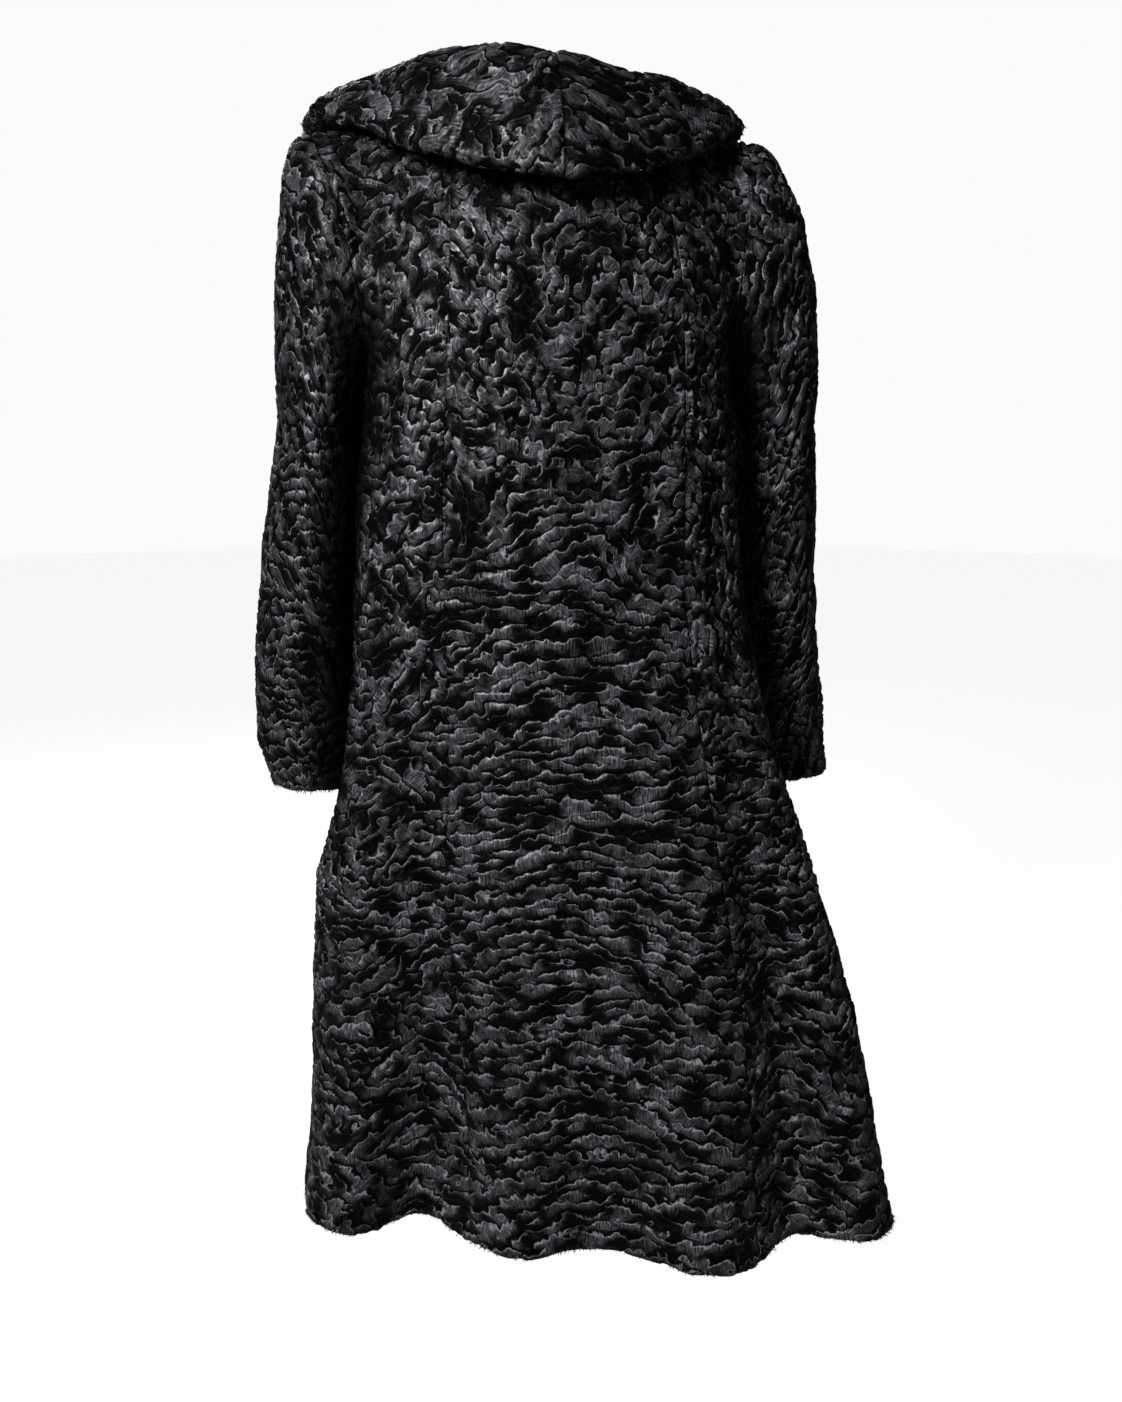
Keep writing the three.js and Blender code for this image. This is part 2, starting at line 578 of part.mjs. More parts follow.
// One closed loop around the collar's thickness: the face, the round edge and the underside.
function collarLoop(turn, side) {
  const face = [];
  const under = [];
  const edge = [];
  const seam = neckSeam(turn, side);
  for (let step = 0; step <= COLLAR_STEPS; step += 1) {
    const share = step / COLLAR_STEPS;
    const here = collarLine(turn, share, side);
    const before = collarLine(turn, Math.max(share - 0.01, 0), side);
    const after = collarLine(turn, Math.min(share + 0.01, 1), side);
    const path = new THREE.Vector2(after.out - before.out, after.up - before.up).normalize();
    const grown = lerp(WALL / 2, COLLAR.halfThick, smooth(0, 0.2, share));
    const half = lerp(grown, COLLAR.edgeHalfThick, smooth(0.6, 1, share));
    const facePoint = collarPlace(here.out - path.y * half, here.up + path.x * half, here.along, side);
    const underPoint = collarPlace(here.out + path.y * half, here.up - path.x * half, here.along, side);
    const free = smooth(0, 0.16, share);
    face.push(mix(seam.inner, facePoint, free));
    under.push(mix(seam.outer, underPoint, free));
    if (step < COLLAR_STEPS) continue;
    for (let round = 1; round < EDGE_STEPS; round += 1) {
      const angle = (Math.PI * round) / EDGE_STEPS;
      const out = here.out + half * (Math.sin(angle) * path.x - Math.cos(angle) * path.y);
      const up = here.up + half * (Math.sin(angle) * path.y + Math.cos(angle) * path.x);
      edge.push(collarPlace(out, up, here.along, side));
    }
  }
  return { face, edge, under };
}

function collar(name, side, colour) {
  const turns = evenTurns(0, COLLAR.endTurn, COLLAR_TURNS);
  const loops = turns.map((turn) => {
    const { face, edge, under } = collarLoop(turn, side);
    return [...face, ...edge, ...under.reverse()];
  });
  loops[0] = loops[0].map((point) => point.clone().add(vector((side * SEAM_GAP) / 2, 0, 0)));
  const count = loops[0].length;
  const corners = loops.flat();
  const at = (loop, index) => loop * count + (index % count);
  const faces = [];
  for (let loop = 0; loop < loops.length - 1; loop += 1) {
    for (let index = 0; index < count; index += 1) {
      addQuad(faces, at(loop, index), at(loop + 1, index), at(loop + 1, index + 1), at(loop, index + 1));
    }
  }
  for (const [loop, flip] of [[0, false], [loops.length - 1, true]]) {
    const cap = [];
    for (let low = 0, high = count - 1; high - low > 1; ) {
      cap.push([at(loop, low), at(loop, low + 1), at(loop, high)]);
      low += 1;
      if (high - low <= 1) break;
      cap.push([at(loop, low), at(loop, high - 1), at(loop, high)]);
      high -= 1;
    }
    faces.push(...(flip ? cap.map(([a, b, c]) => [a, c, b]) : cap));
  }
  return closedMesh(name, corners, faces, colour);
}

function backCentreTurns(down) {
  return evenTurns(-peltTurn(down), peltTurn(down), BACK_CENTRE_STEPS);
}

function backLeftTurns(down) {
  return evenTurns(peltTurn(down), SIDE_TURN, SHOULDER_STEPS);
}

function backRightTurns(down) {
  return evenTurns(-SIDE_TURN, -peltTurn(down), SHOULDER_STEPS);
}

// The columns of a front, as shares from its centre to the side, without the part that laps.
function frontShares(down) {
  const lap = shareDown(LAP, down);
  const neck = shareDown(NECK_COLUMN, down);
  const underNeck = evenTurns(lap, neck, NECK_FRONT_STEPS);
  const underShoulder = evenTurns(neck, 1, SHOULDER_STEPS).slice(1);
  return [0, lap / 2, ...underNeck, ...underShoulder];
}

function frontTurn(share) {
  return share === 1 ? FRONT_START : 180 - (180 - SIDE_TURN) * share;
}

function frontLeftTurns(down) {
  return frontShares(down).map(frontTurn).reverse();
}

function frontRightTurns(down) {
  const lap = lapTurn(down);
  return [-180 - lap, -180 - lap / 2, ...frontShares(down).map((share) => -frontTurn(share))];
}

// The right front laps over the left one, so it is lifted there by a wall and the gap.
function lapLift(turn) {
  const beyond = (turn + 180) / (180 - SIDE_TURN);
  return (WALL + SEAM_GAP) * (1 - smooth(0, LAP.runUp, beyond));
}

const FUR = 0x141517;
const coat = new THREE.Group();
coat.add(
  bodyPanel('back_centre', backCentreTurns, -SIDE_TURN, SIDE_TURN, FUR),
  bodyPanel('back_left', backLeftTurns, -SIDE_TURN, SIDE_TURN, FUR),
  bodyPanel('back_right', backRightTurns, -SIDE_TURN, SIDE_TURN, FUR),
  bodyPanel('front_left', frontLeftTurns, FRONT_START, 360, FUR),
  bodyPanel('front_right', frontRightTurns, -360, -FRONT_START, FUR, lapLift),
  sleeve('sleeve_left', 1, FUR),
  sleeve('sleeve_right', -1, FUR),
  collar('collar_left', 1, FUR),
  collar('collar_right', -1, FUR),
);

export default coat;
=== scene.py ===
import math

import bpy
import numpy as np
from mathutils import Matrix, Vector, kdtree


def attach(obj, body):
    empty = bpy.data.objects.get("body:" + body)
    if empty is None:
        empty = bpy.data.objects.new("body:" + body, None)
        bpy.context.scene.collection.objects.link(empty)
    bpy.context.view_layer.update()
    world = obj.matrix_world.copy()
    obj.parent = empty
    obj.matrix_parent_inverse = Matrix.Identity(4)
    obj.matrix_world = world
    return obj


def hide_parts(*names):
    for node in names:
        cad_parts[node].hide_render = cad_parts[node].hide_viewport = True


# The looks of a long coat in black curly lamb, worn and hollow. Tables are in millimetres in the
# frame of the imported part: the wearer faces -Y, +X is the wearer's left, the nape is at the origin.
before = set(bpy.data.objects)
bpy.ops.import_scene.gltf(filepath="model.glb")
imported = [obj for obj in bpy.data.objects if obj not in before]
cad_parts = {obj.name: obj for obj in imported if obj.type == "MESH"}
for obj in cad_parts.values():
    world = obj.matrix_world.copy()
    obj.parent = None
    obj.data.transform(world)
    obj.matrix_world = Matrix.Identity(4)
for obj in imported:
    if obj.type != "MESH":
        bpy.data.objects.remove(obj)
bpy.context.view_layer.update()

MM = 0.001
SEED = 20
HEM_Z = -1130
UNDERARM_Z = -235
WALL = 6
SIDE_TURN = 92  # degrees from the centre back to a side seam
SEAM_TURN = 0.006  # how far a panel's edge stays from its seam line, in degrees
NECK = {"half_width": 76, "back": 64, "front": -92, "side_z": 16, "nape_z": 4, "pit_z": -88}
NECK_SHARE = 0.3
NECK_ROUND = 1.3
LAP = (0.106, 0.142, 0.083)  # shares of a front, at the neck, the underarm and the hem
LAP_RUN_UP = 0.16
LAP_LIFT = 6.3
PELT = (0.3, 0.36, 0.287)
NECK_COLUMN = (0.3, 0.34, 0.36)

SECTIONS = {
    "z": (-1130, -980, -840, -720, -620, -520, -420, -320, -235),
    "left": (246, 234, 229, 227, 205, 191, 182, 177, 167),
    "right": (380, 350, 319, 283, 251, 223, 201, 193, 187),
    "back": (58, 73, 85, 95, 101, 106, 110, 116, 116),
    "front": (204, 190, 178, 168, 160, 152, 148, 152, 150),
    "twist": (-0.24, -0.23, -0.21, -0.18, -0.15, -0.11, -0.07, -0.04, -0.02),
    "square": (2.1, 2.1, 2.15, 2.2, 2.25, 2.3, 2.4, 2.45, 2.5),
    "arm_left": (0, 0, 0, 16, 55, 43, 31, 26, 24),
    "arm_right": (0, 0, 0, 14, 44, 38, 32, 24, 20),
}

# Skirt folds: top height, turn at the top and at the hem, half width in turns, depth, growth.
FOLDS = (
    (-430, -22, -17, 15, 50, 1.0),
    (-480, -44, -38, 10, -22, 0.8),
    (-520, -64, -60, 13, 12, 1.0),
    (-620, 13, 18, 11, 26, 1.3),
    (-420, 30, 38, 11, -48, 1.2),
    (-420, 56, 62, 13, 14, 1.0),
    (-800, -4, 1, 8, -8, 1.0),
    (-560, 116, 118, 15, 24, 1.0),
    (-600, 142, 143, 12, -20, 1.0),
    (-640, 163, 163, 10, 14, 1.0),
    (-560, -114, -116, 15, 26, 1.0),
    (-600, -140, -141, 12, -20, 1.0),
    (-640, -160, -160, 10, 14, 1.0),
)
ARM_PRESS = {"turn": 118, "half_turn": 26}

ARMHOLES = {
    1: {"x": 193, "top_z": -11, "y": -8, "back": 66, "front": 62, "lean": 10, "hollow": 6},
    -1: {"x": 195, "top_z": -7, "y": -6, "back": 66, "front": 62, "lean": 10, "hollow": 6},
}
CAP_SHARE = 0.4
CAP_SQUARE = {1: 0.68, -1: 0.95}
SLEEVES = {
    1: {
        "share": (0.4, 0.52, 0.66, 0.8, 0.92, 1),
        "x": (202, 209, 216, 222, 224, 217),
        "y": (-34, -50, -66, -78, -86, -90),
        "z": (-262, -335, -420, -505, -584, -634),
        "half_wide": (41, 46, 50, 53, 53, 45),
        "half_deep": (72, 69, 64, 59, 55, 49),
    },
    -1: {
        "share": (0.4, 0.52, 0.66, 0.8, 0.92, 1),
        "x": (-244, -254, -261, -273, -285, -292),
        "y": (-34, -50, -63, -74, -80, -84),
        "z": (-262, -340, -432, -522, -600, -650),
        "half_wide": (46, 47, 49, 51, 52, 49),
        "half_deep": (72, 69, 64, 59, 55, 51),
    },
}
COLLAR = {
    "turn": (0, 30, 55, 75, 90, 105, 122, 142, 160, 177),
    "roll_out": (88, 90, 95, 99, 101, 102, 104, 106, 109, 112),
    "roll_up": (42, 46, 48, 44, 38, 28, 12, -16, -44, -63),
    "edge_out": (131, 133, 143, 168, 194, 205, 196, 176, 158, 152),
    "edge_up": (-52, -42, -27, -3, 9, 2, -34, -84, -126, -150),
}
COLLAR_SEAT = 1
STAND_SHARE = 0.3
COLLAR_HALF_THICK = 5.5
COLLAR_EDGE_HALF_THICK = 8.5
FALL_BULGE = 0.66
COLLAR_START_TURN = 0.1
COLLAR_END_TURN = 177
COLLAR_SETTLE = 0.4  # the share along which the collar turns from its seam's way to its own
STAND_CONTROL = 0.3
CORNER_FROM = 160
CORNER_CUT = 0.3
RIGHT_DROP = 15  # how far the right side has sunk half way to the shoulder
YOKE_BACK = {"full_at": 0.72, "fall_power": 1.2, "round_from": 0.15}
YOKE_FRONT = {"full_at": 0.85, "fall_power": 0.9, "round_from": 0.35}
YOKE_LENGTH = 275  # from the shoulder to the underarm, along the fur
ARMHOLE_PULL = 4  # the power of the share across at which a yoke follows the armhole


def smooth(low, high, value):
    share = np.clip((value - low) / (high - low), 0, 1)
    return share * share * (3 - 2 * share)


def lerp(one, other, share):
    return one + (other - one) * share


def signed_power(value, power):
    return np.sign(value) * np.abs(value) ** power


def read(table, key, value):
    return {name: np.interp(value, table[key], column) for name, column in table.items()}


def stack(x, y, z):
    return np.stack(np.broadcast_arrays(x, y, z), -1).astype(float)


def unit(vectors):
    return vectors / np.maximum(np.linalg.norm(vectors, axis=-1, keepdims=True), 1e-9)


def wrap(turn):
    return (turn + 180) % 360 - 180


def share_down(shares, down):
    return np.interp(down, (0, 1, 2), shares)


# The body's surface, as in the part's source: a point from a turn and a way down.


def skirt_point(turn, z):
    row = read(SECTIONS, "z", z)
    centre = (row["left"] - row["right"]) / 2
    half_wide = (row["left"] + row["right"]) / 2
    sine = np.sin(np.radians(turn))
    cosine = np.cos(np.radians(turn))
    half_deep = np.where(cosine >= 0, row["back"], row["front"])
    x = half_wide * signed_power(sine, 2 / row["square"])
    y = half_deep * signed_power(cosine, 2 / row["square"])
    out_x = signed_power(sine, 2 - 2 / row["square"]) / half_wide
    out_y = signed_power(cosine, 2 - 2 / row["square"]) / half_deep
    size = np.hypot(out_x, out_y)
    push = np.zeros(np.broadcast(turn, z).shape)
    for top_z, top_turn, hem_turn, half_turn, depth, growth in FOLDS:
        grown = np.clip((top_z - z) / (top_z - HEM_Z), 0, 1)
        across = wrap(turn - lerp(top_turn, hem_turn, grown)) / half_turn
        push = push + depth * grown**growth * np.exp(-across * across)
    press = np.where(turn >= 0, row["arm_left"], row["arm_right"])
    reach = wrap(np.abs(turn) - ARM_PRESS["turn"]) / ARM_PRESS["half_turn"]
    push = push - press * np.exp(-reach * reach)
    return stack(centre + x + out_x / size * push, y + out_y / size * push + row["twist"] * x, z)


def armhole_point(angle, side):
    ring = ARMHOLES[side]
    sine = np.sin(angle)
    cosine = np.cos(angle)
    half_deep = np.where(sine >= 0, ring["back"], ring["front"])
    middle = (ring["top_z"] + UNDERARM_Z) / 2
    half_high = (ring["top_z"] - UNDERARM_Z) / 2
    under = skirt_point(side * SIDE_TURN, UNDERARM_Z)
    low = (1 - cosine) / 2
    x = side * (ring["x"] + ring["lean"] * cosine - ring["hollow"] * sine * sine)
    x = x + low * (under[0] - side * (ring["x"] - ring["lean"]))
    y = ring["y"] + half_deep * sine + low * (under[1] - ring["y"])
    return stack(x, y, middle + half_high * cosine)


def top_point(share, side, front):
    around = np.clip(share / NECK_SHARE, 0, 1) * np.pi / 2
    middle_y = NECK["front"] if front else NECK["back"]
    middle_z = NECK["pit_z"] if front else NECK["nape_z"]
    neck = stack(
        side * NECK["half_width"] * np.sin(around),
        middle_y * np.cos(around),
        lerp(NECK["side_z"], middle_z, np.cos(around) ** NECK_ROUND),
    )
    neck_side = stack(side * NECK["half_width"], 0, NECK["side_z"])
    along = np.asarray((share - NECK_SHARE) / (1 - NECK_SHARE))[..., None]
    shoulder = lerp(neck_side, armhole_point(0.0, side), along)
    return np.where(np.asarray(share)[..., None] <= NECK_SHARE, neck, shoulder)


def yoke_point(share, down, side, front):
    turn = side * (180 - (180 - SIDE_TURN) * share if front else SIDE_TURN * share)
    low = skirt_point(turn, UNDERARM_Z + 0 * down)
    high = top_point(share, side, front)
    yoke = YOKE_FRONT if front else YOKE_BACK
    across = np.sin(np.pi / 2 * np.clip(down / yoke["full_at"], 0, 1))
    round_fall = (1 - np.cos(np.pi * down)) / 2
    fall = lerp(down ** yoke["fall_power"], round_fall, smooth(yoke["round_from"], 1, share))
    base = stack(
        lerp(high[..., 0], low[..., 0], across),
        lerp(high[..., 1], low[..., 1], across),
        lerp(high[..., 2], low[..., 2], fall),
    )
    corner = top_point(1.0, side, front)
    seam = armhole_point(np.pi * down * (-1 if front else 1), side)
    under = skirt_point(side * SIDE_TURN, UNDERARM_Z)
    down = down[..., None]
    edge = seam + (high - corner) * (1 - down) + (low - under) * down
    return lerp(base, edge, share[..., None] ** ARMHOLE_PULL)


def panel_point(turn, down, front):
    """Points of one panel, at arrays of turns and ways down: 0 to 1 above the underarm, 1 to 2 below."""
    wrapped = wrap(turn)
    points = skirt_point(wrapped, lerp(UNDERARM_Z, HEM_Z, np.clip(down - 1, 0, 1)))
    for side in (1, -1):
        upper = (down < 1) & (np.where(wrapped < 0, -1, 1) == side)
        size = np.abs(wrapped[upper])
        share = (180 - size) / (180 - SIDE_TURN) if front else size / SIDE_TURN
        points[upper] = yoke_point(np.clip(share, 0, 1), down[upper], side, front)
    return points


def sleeve_point(angle, share, side):
    row = read(SLEEVES[side], "share", np.maximum(share, CAP_SHARE))
    tube = stack(
        row["x"] + side * row["half_wide"] * np.cos(angle),
        row["y"] + row["half_deep"] * np.sin(angle),
        row["z"],
    )
    grown = np.pi / 2 * np.clip(share / CAP_SHARE, 0, 1)
    square = lerp(1, CAP_SQUARE[side], (1 + np.cos(angle)) / 2)
    ring = armhole_point(angle, side)
    out = np.sin(grown) ** square
    drop = 1 - np.cos(grown)
    return stack(
        lerp(ring[..., 0], tube[..., 0], out),
        lerp(ring[..., 1], tube[..., 1], drop),
        lerp(ring[..., 2], tube[..., 2], drop),
    )


def neck_seam(turn, side):
    """The collar's two lowest points, on the neckline's edge and a wall's width towards the neck."""
    share = NECK_SHARE * np.where(turn <= 90, turn / 90, (180 - turn) / 90)
    back = top_point(share, side, False)
    front = top_point(share, side, True)
    outer = np.where(turn[..., None] <= 90, back, front)
    outer[..., 2] += COLLAR_SEAT
    flat = unit(stack(outer[..., 0], outer[..., 1], 0))
    return outer, outer - flat * WALL


def bend(start, control, end, share):
    rest = 1 - share
    return rest * rest * start + 2 * rest * share * control + share * share * end


def collar_line(turn, share, side):
    row = read(COLLAR, "turn", turn)
    if side < 0:
        sunk = np.sin(np.radians(2 * np.minimum(turn, 90))) ** 2
        row["roll_up"] = row["roll_up"] - RIGHT_DROP * sunk
    outer, inner = neck_seam(turn, side)
    base = (outer + inner) / 2
    base_out = np.hypot(base[..., 0], base[..., 1])
    base_turn = np.degrees(np.arctan2(side * base[..., 0], base[..., 1]))
    corner = np.clip((turn - CORNER_FROM) / (COLLAR_END_TURN - CORNER_FROM), 0, 1)
    cut = CORNER_CUT * (1 - np.sqrt(1 - corner * corner))
    edge_out = lerp(row["edge_out"], row["roll_out"], cut)
    edge_up = lerp(row["edge_up"], row["roll_up"], cut)
    along = lerp(base_turn, turn, smooth(0, COLLAR_SETTLE, share))
    stand = np.clip(share / STAND_SHARE, 0, 1)
    fall = np.clip((share - STAND_SHARE) / (1 - STAND_SHARE), 0, 1)
    stand_out = bend(base_out, lerp(base_out, row["roll_out"], STAND_CONTROL), row["roll_out"], stand)
    stand_up = bend(base[..., 2], row["roll_up"], row["roll_up"], stand)
    fall_out = bend(row["roll_out"], lerp(row["roll_out"], edge_out, FALL_BULGE), edge_out, fall)
    fall_up = bend(row["roll_up"], row["roll_up"], edge_up, fall)
    standing = share < STAND_SHARE
    return np.where(standing, stand_out, fall_out), np.where(standing, stand_up, fall_up), along


def collar_place(out, up, along, side):
    return stack(side * out * np.sin(np.radians(along)), out * np.cos(np.radians(along)), up)


# Grids of points. Columns run so that columns x rows points out of the coat.

STEP = 2.5  # the spacing of the fur's points
FRONT_STEP = 2.9  # and on the wider fronts
COARSE = 5  # how many of them lie between two points of an inner side


def even(length, step=STEP):
    return max(int(round(length / step)), 2)


def gradients(grid, closed_columns=False, closed_rows=False):
    along = np.gradient(grid, axis=1)
    down = np.gradient(grid, axis=0)
    if closed_columns:
        along = (np.roll(grid, -1, 1) - np.roll(grid, 1, 1)) / 2
    if closed_rows:
        down = (np.roll(grid, -1, 0) - np.roll(grid, 1, 0)) / 2
    return along, down


def body_grid(turns_at, front, columns, step=STEP):
    """A panel's points; turns_at gives the turn at each share across the panel and way down."""
    upper = np.linspace(0, 1, even(YOKE_LENGTH, step))[:-1]
    lower = np.linspace(1, 2, even(UNDERARM_Z - HEM_Z, step))
    down = np.concatenate([upper, lower])[:, None]
    turn = turns_at(np.linspace(0, 1, columns)[None, :], down)
    down = down + 0 * turn
    return panel_point(turn, down, front), turn, down


def between(low, high, across):
    return low + SEAM_TURN + (high - low - 2 * SEAM_TURN) * across


def pelt(down):
    return SIDE_TURN * share_down(PELT, down)


def back_centre_turn(across, down):
    return between(-pelt(down), pelt(down), across)


def back_left_turn(across, down):
    return between(pelt(down), SIDE_TURN, across)


def back_right_turn(across, down):
    return between(-SIDE_TURN, -pelt(down), across)


NECK_SPLIT = 0.33  # the share of a front's columns that lie under the neck
LAP_SPLIT = 0.12  # the share of the right front's columns that lie past the centre


def front_share(across, down):
    """Shares of a front from the centre to the side, with one column under the neck's side."""
    neck = share_down(NECK_COLUMN, down)
    near = neck * across / NECK_SPLIT
    far = lerp(neck, 1, (across - NECK_SPLIT) / (1 - NECK_SPLIT))
    return np.where(across < NECK_SPLIT, near, far)


def front_left_turn(across, down):
    return 180 - SEAM_TURN - (180 - SIDE_TURN - 2 * SEAM_TURN) * front_share(1 - across, down)


def front_right_turn(across, down):
    lap = (180 - SIDE_TURN) * share_down(LAP, down)
    past_lap = (across - LAP_SPLIT) / (1 - LAP_SPLIT)
    body = -180 + (180 - SIDE_TURN - SEAM_TURN) * front_share(past_lap, down)
    return np.where(across < LAP_SPLIT, -180 - lap * (1 - across / LAP_SPLIT), body)


# The fur's ridges. Many short waves lie on the surface, each with its own direction, and their sum
# has a phase that runs from one gap between two ridges to the next.

WAVE = 11.3
WAVE_AREA = 42  # square millimetres of fur for each short wave
WAVE_REACH = 2.2  # how many widths of a short wave are counted
WAVE_SPREAD = (0.72, 1.45)  # the shortest and the longest wave, in shares of the wave given
WAVE_WIDTH = 0.46  # the width of a short wave, in wavelengths
FACING = 0.25  # the least agreement of two normals for a wave to pass between them
JITTER = 0.5  # how far the waves' directions scatter, in radians
STRETCH = 1.4  # the length of a short wave along its ridge, in widths
SEAM_FADE = 0.8
SWELL_RUN = (4, 30)  # how far from a free edge its swelling begins to end, and ends
RELIEF = 2.4
SINK = 1.0  # how far the gaps lie under the part's surface
PROFILE = ((0, 0.1, 0.22, 0.5, 0.72, 0.9, 1), (0, 0.15, 1, 0.8, 0.75, 0.15, 0))
WEAK_WAVE = (0.12, 0.7)  # the sizes of the sum between which a ridge reaches its full height
WEAK_HEIGHT = 0.25
rng = np.random.default_rng(SEED)


def plane_waves(points, length, count=28):
    """A smooth random field of about unit size, with features of that length."""
    total = np.zeros(len(points))
    for _ in range(count):
        direction = unit(rng.normal(size=3)) * 2 * np.pi / (length * rng.uniform(0.75, 1.35))
        total += np.cos(points @ direction + rng.uniform(0, 2 * np.pi))
    return total * math.sqrt(2 / count)


class Piece:
    """A grid of points with the directions, sizes and edges that the fur needs."""

    def __init__(self, name, grid, closed_columns=False, closed_rows=False):
        self.name = name
        self.grid = grid
        self.closed_columns = closed_columns
        self.closed_rows = closed_rows
        self.fade = np.ones(grid.shape[:2])
        self.open = np.ones(grid.shape[:2])
        self.angle = np.zeros(grid.shape[:2])
        self.jitter = np.full(grid.shape[:2], JITTER)
        self.wave = np.full(grid.shape[:2], float(WAVE))
        self.stretch = np.full(grid.shape[:2], STRETCH)
        self.measure()

    def measure(self):
        along, down = gradients(self.grid, self.closed_columns, self.closed_rows)
        cross = np.cross(along, down)
        self.area = np.linalg.norm(cross, axis=-1)
        self.normal = unit(cross)
        flat = along - (along * self.normal).sum(-1, keepdims=True) * self.normal
        self.across = unit(flat)
        self.downward = np.cross(self.normal, self.across)

    def steps(self, axis):
        sizes = np.linalg.norm(np.diff(self.grid, axis=axis), axis=-1)
        lead = [(0, 0), (0, 0)]
        lead[axis] = (1, 0)
        return np.cumsum(np.pad(sizes, lead), axis=axis)

    def from_edge(self, edge):
        """Distances along the surface from the top, bottom, low or high edge of the grid."""
        way = self.steps(0 if edge in ("top", "bottom") else 1)
        if edge == "bottom":
            way = way[-1:, :] - way
        if edge == "high":
            way = way[:, -1:] - way
        return way

    def seam(self, edge, depth=0.9, width=5):
        """Sinks the fur beside a seam."""
        near = 1 - smooth(0, width, self.from_edge(edge))
        self.fade = self.fade * (1 - SEAM_FADE * near)
        self.grid = self.grid - self.normal * (near * depth)[..., None]

    def rounded(self, edge, radius, swell):
        """Turns a free edge in, behind a soft swelling of its fur."""
        way = self.from_edge(edge)
        inside = radius - np.clip(way, 0, radius)
        drop = radius - np.sqrt(radius * radius - inside * inside)
        thick = swell * (1 - smooth(*SWELL_RUN, way))
        self.grid = self.grid + self.normal * (thick - drop)[..., None]


def sum_of_waves(pieces):
    """The complex sum of the short waves at each point of each piece, of about unit size."""
    points = np.concatenate([piece.grid.reshape(-1, 3) for piece in pieces])
    normals = np.concatenate([piece.normal.reshape(-1, 3) for piece in pieces])
    tree = kdtree.KDTree(len(points))
    for index, point in enumerate(points.tolist()):
        tree.insert(point, index)
    tree.balance()
    total = np.zeros(len(points), complex)
    turned = np.zeros(len(points), complex)
    for piece in pieces:
        area = piece.area.ravel()
        count = int(area.sum() / WAVE_AREA)
        chosen = rng.choice(len(area), count, p=area / area.sum())
        angle = piece.angle.ravel()[chosen] + rng.normal(size=count) * piece.jitter.ravel()[chosen]
        # With the steep side above, the colour paints each ridge bright at its top and dark below, as
        # painted light from above.
        angle = (angle + np.pi / 2) % np.pi - np.pi / 2  # the steep side of each ridge lies above
        length = piece.wave.ravel()[chosen] * rng.uniform(*WAVE_SPREAD, count)
        stretch = piece.stretch.ravel()[chosen]
        phase = rng.uniform(0, 2 * np.pi, count)
        centres = piece.grid.reshape(-1, 3)[chosen]
        normal = piece.normal.reshape(-1, 3)[chosen]
        across = piece.across.reshape(-1, 3)[chosen]
        downward = piece.downward.reshape(-1, 3)[chosen]
        ridge = across * np.cos(angle)[:, None] + downward * np.sin(angle)[:, None]
        side = np.cross(normal, ridge)
        for index in range(count):
            width = WAVE_WIDTH * length[index]
            long_width = width * stretch[index]
            found = tree.find_range(centres[index], WAVE_REACH * long_width)
            near = np.fromiter((item[1] for item in found), int, len(found))
            offset = points[near] - centres[index]
            ahead = offset @ ridge[index] / long_width
            beside = offset @ side[index]
            facing = normals[near] @ normal[index]
            weight = np.exp(-0.5 * (ahead**2 + (beside / width) ** 2)) * (facing > FACING)
            total[near] += weight * np.exp(1j * (2 * np.pi / length[index] * beside + phase[index]))
            turned[near] += weight * np.exp(2j * angle[index])
    total /= np.sqrt((np.abs(total) ** 2).mean())
    start = 0
    for piece in pieces:
        end = start + piece.fade.size
        piece.waves = total[start:end].reshape(piece.fade.shape)
        piece.turned = turned[start:end].reshape(piece.fade.shape)
        start = end


def zip_lines(one, other, flip):
    """Triangles between two lines of points that start and end side by side."""
    faces = []
    i = j = 0
    while i < len(one) - 1 or j < len(other) - 1:
        first = (i + 1) * (len(other) - 1) <= (j + 1) * (len(one) - 1)
        if j == len(other) - 1 or (i < len(one) - 1 and first):
            faces.append((one[i], one[i + 1], other[j]))
            i += 1
        else:
            faces.append((one[i], other[j + 1], other[j]))
            j += 1
    faces = np.array(faces)
    return faces[:, ::-1] if flip else faces


def quads(ids, closed_columns, closed_rows):
    right = np.roll(ids, -1, 1)
    below = np.roll(ids, -1, 0)
    corner = np.roll(below, -1, 1)
    faces = np.stack([ids, right, corner, below], -1)
    if not closed_columns:
        faces = faces[:, :-1]
    if not closed_rows:
        faces = faces[:-1]
    return faces.reshape(-1, 4)


def add_mesh(name, points, fours, threes, skin_from=None):
    mesh = bpy.data.meshes.new(name)
    corners = np.concatenate([fours.ravel(), threes.ravel()]).astype(np.int32)
    starts = np.concatenate([np.arange(len(fours)) * 4, len(fours) * 4 + np.arange(len(threes)) * 3])
    mesh.vertices.add(len(points))
    mesh.vertices.foreach_set("co", (points * MM).astype(np.float32).ravel())
    mesh.loops.add(len(corners))
    mesh.loops.foreach_set("vertex_index", corners)
    mesh.polygons.add(len(starts))
    mesh.polygons.foreach_set("loop_start", starts.astype(np.int32))
    mesh.polygons.foreach_set("use_smooth", np.ones(len(starts), bool))
    if skin_from is not None:
        low, high = skin_from
        kind = np.zeros(len(starts), np.int32)
        kind[low:high] = 1
        mesh.polygons.foreach_set("material_index", kind)
    mesh.update(calc_edges=True)
    piece = bpy.data.objects.new(name, mesh)
    bpy.context.scene.collection.objects.link(piece)
    return piece


def fur_height(piece):
    share = np.angle(piece.waves) / (2 * np.pi) % 1
    strength = smooth(*WEAK_WAVE, np.abs(piece.waves))
    return np.interp(share, *PROFILE) * lerp(WEAK_HEIGHT, 1, strength)


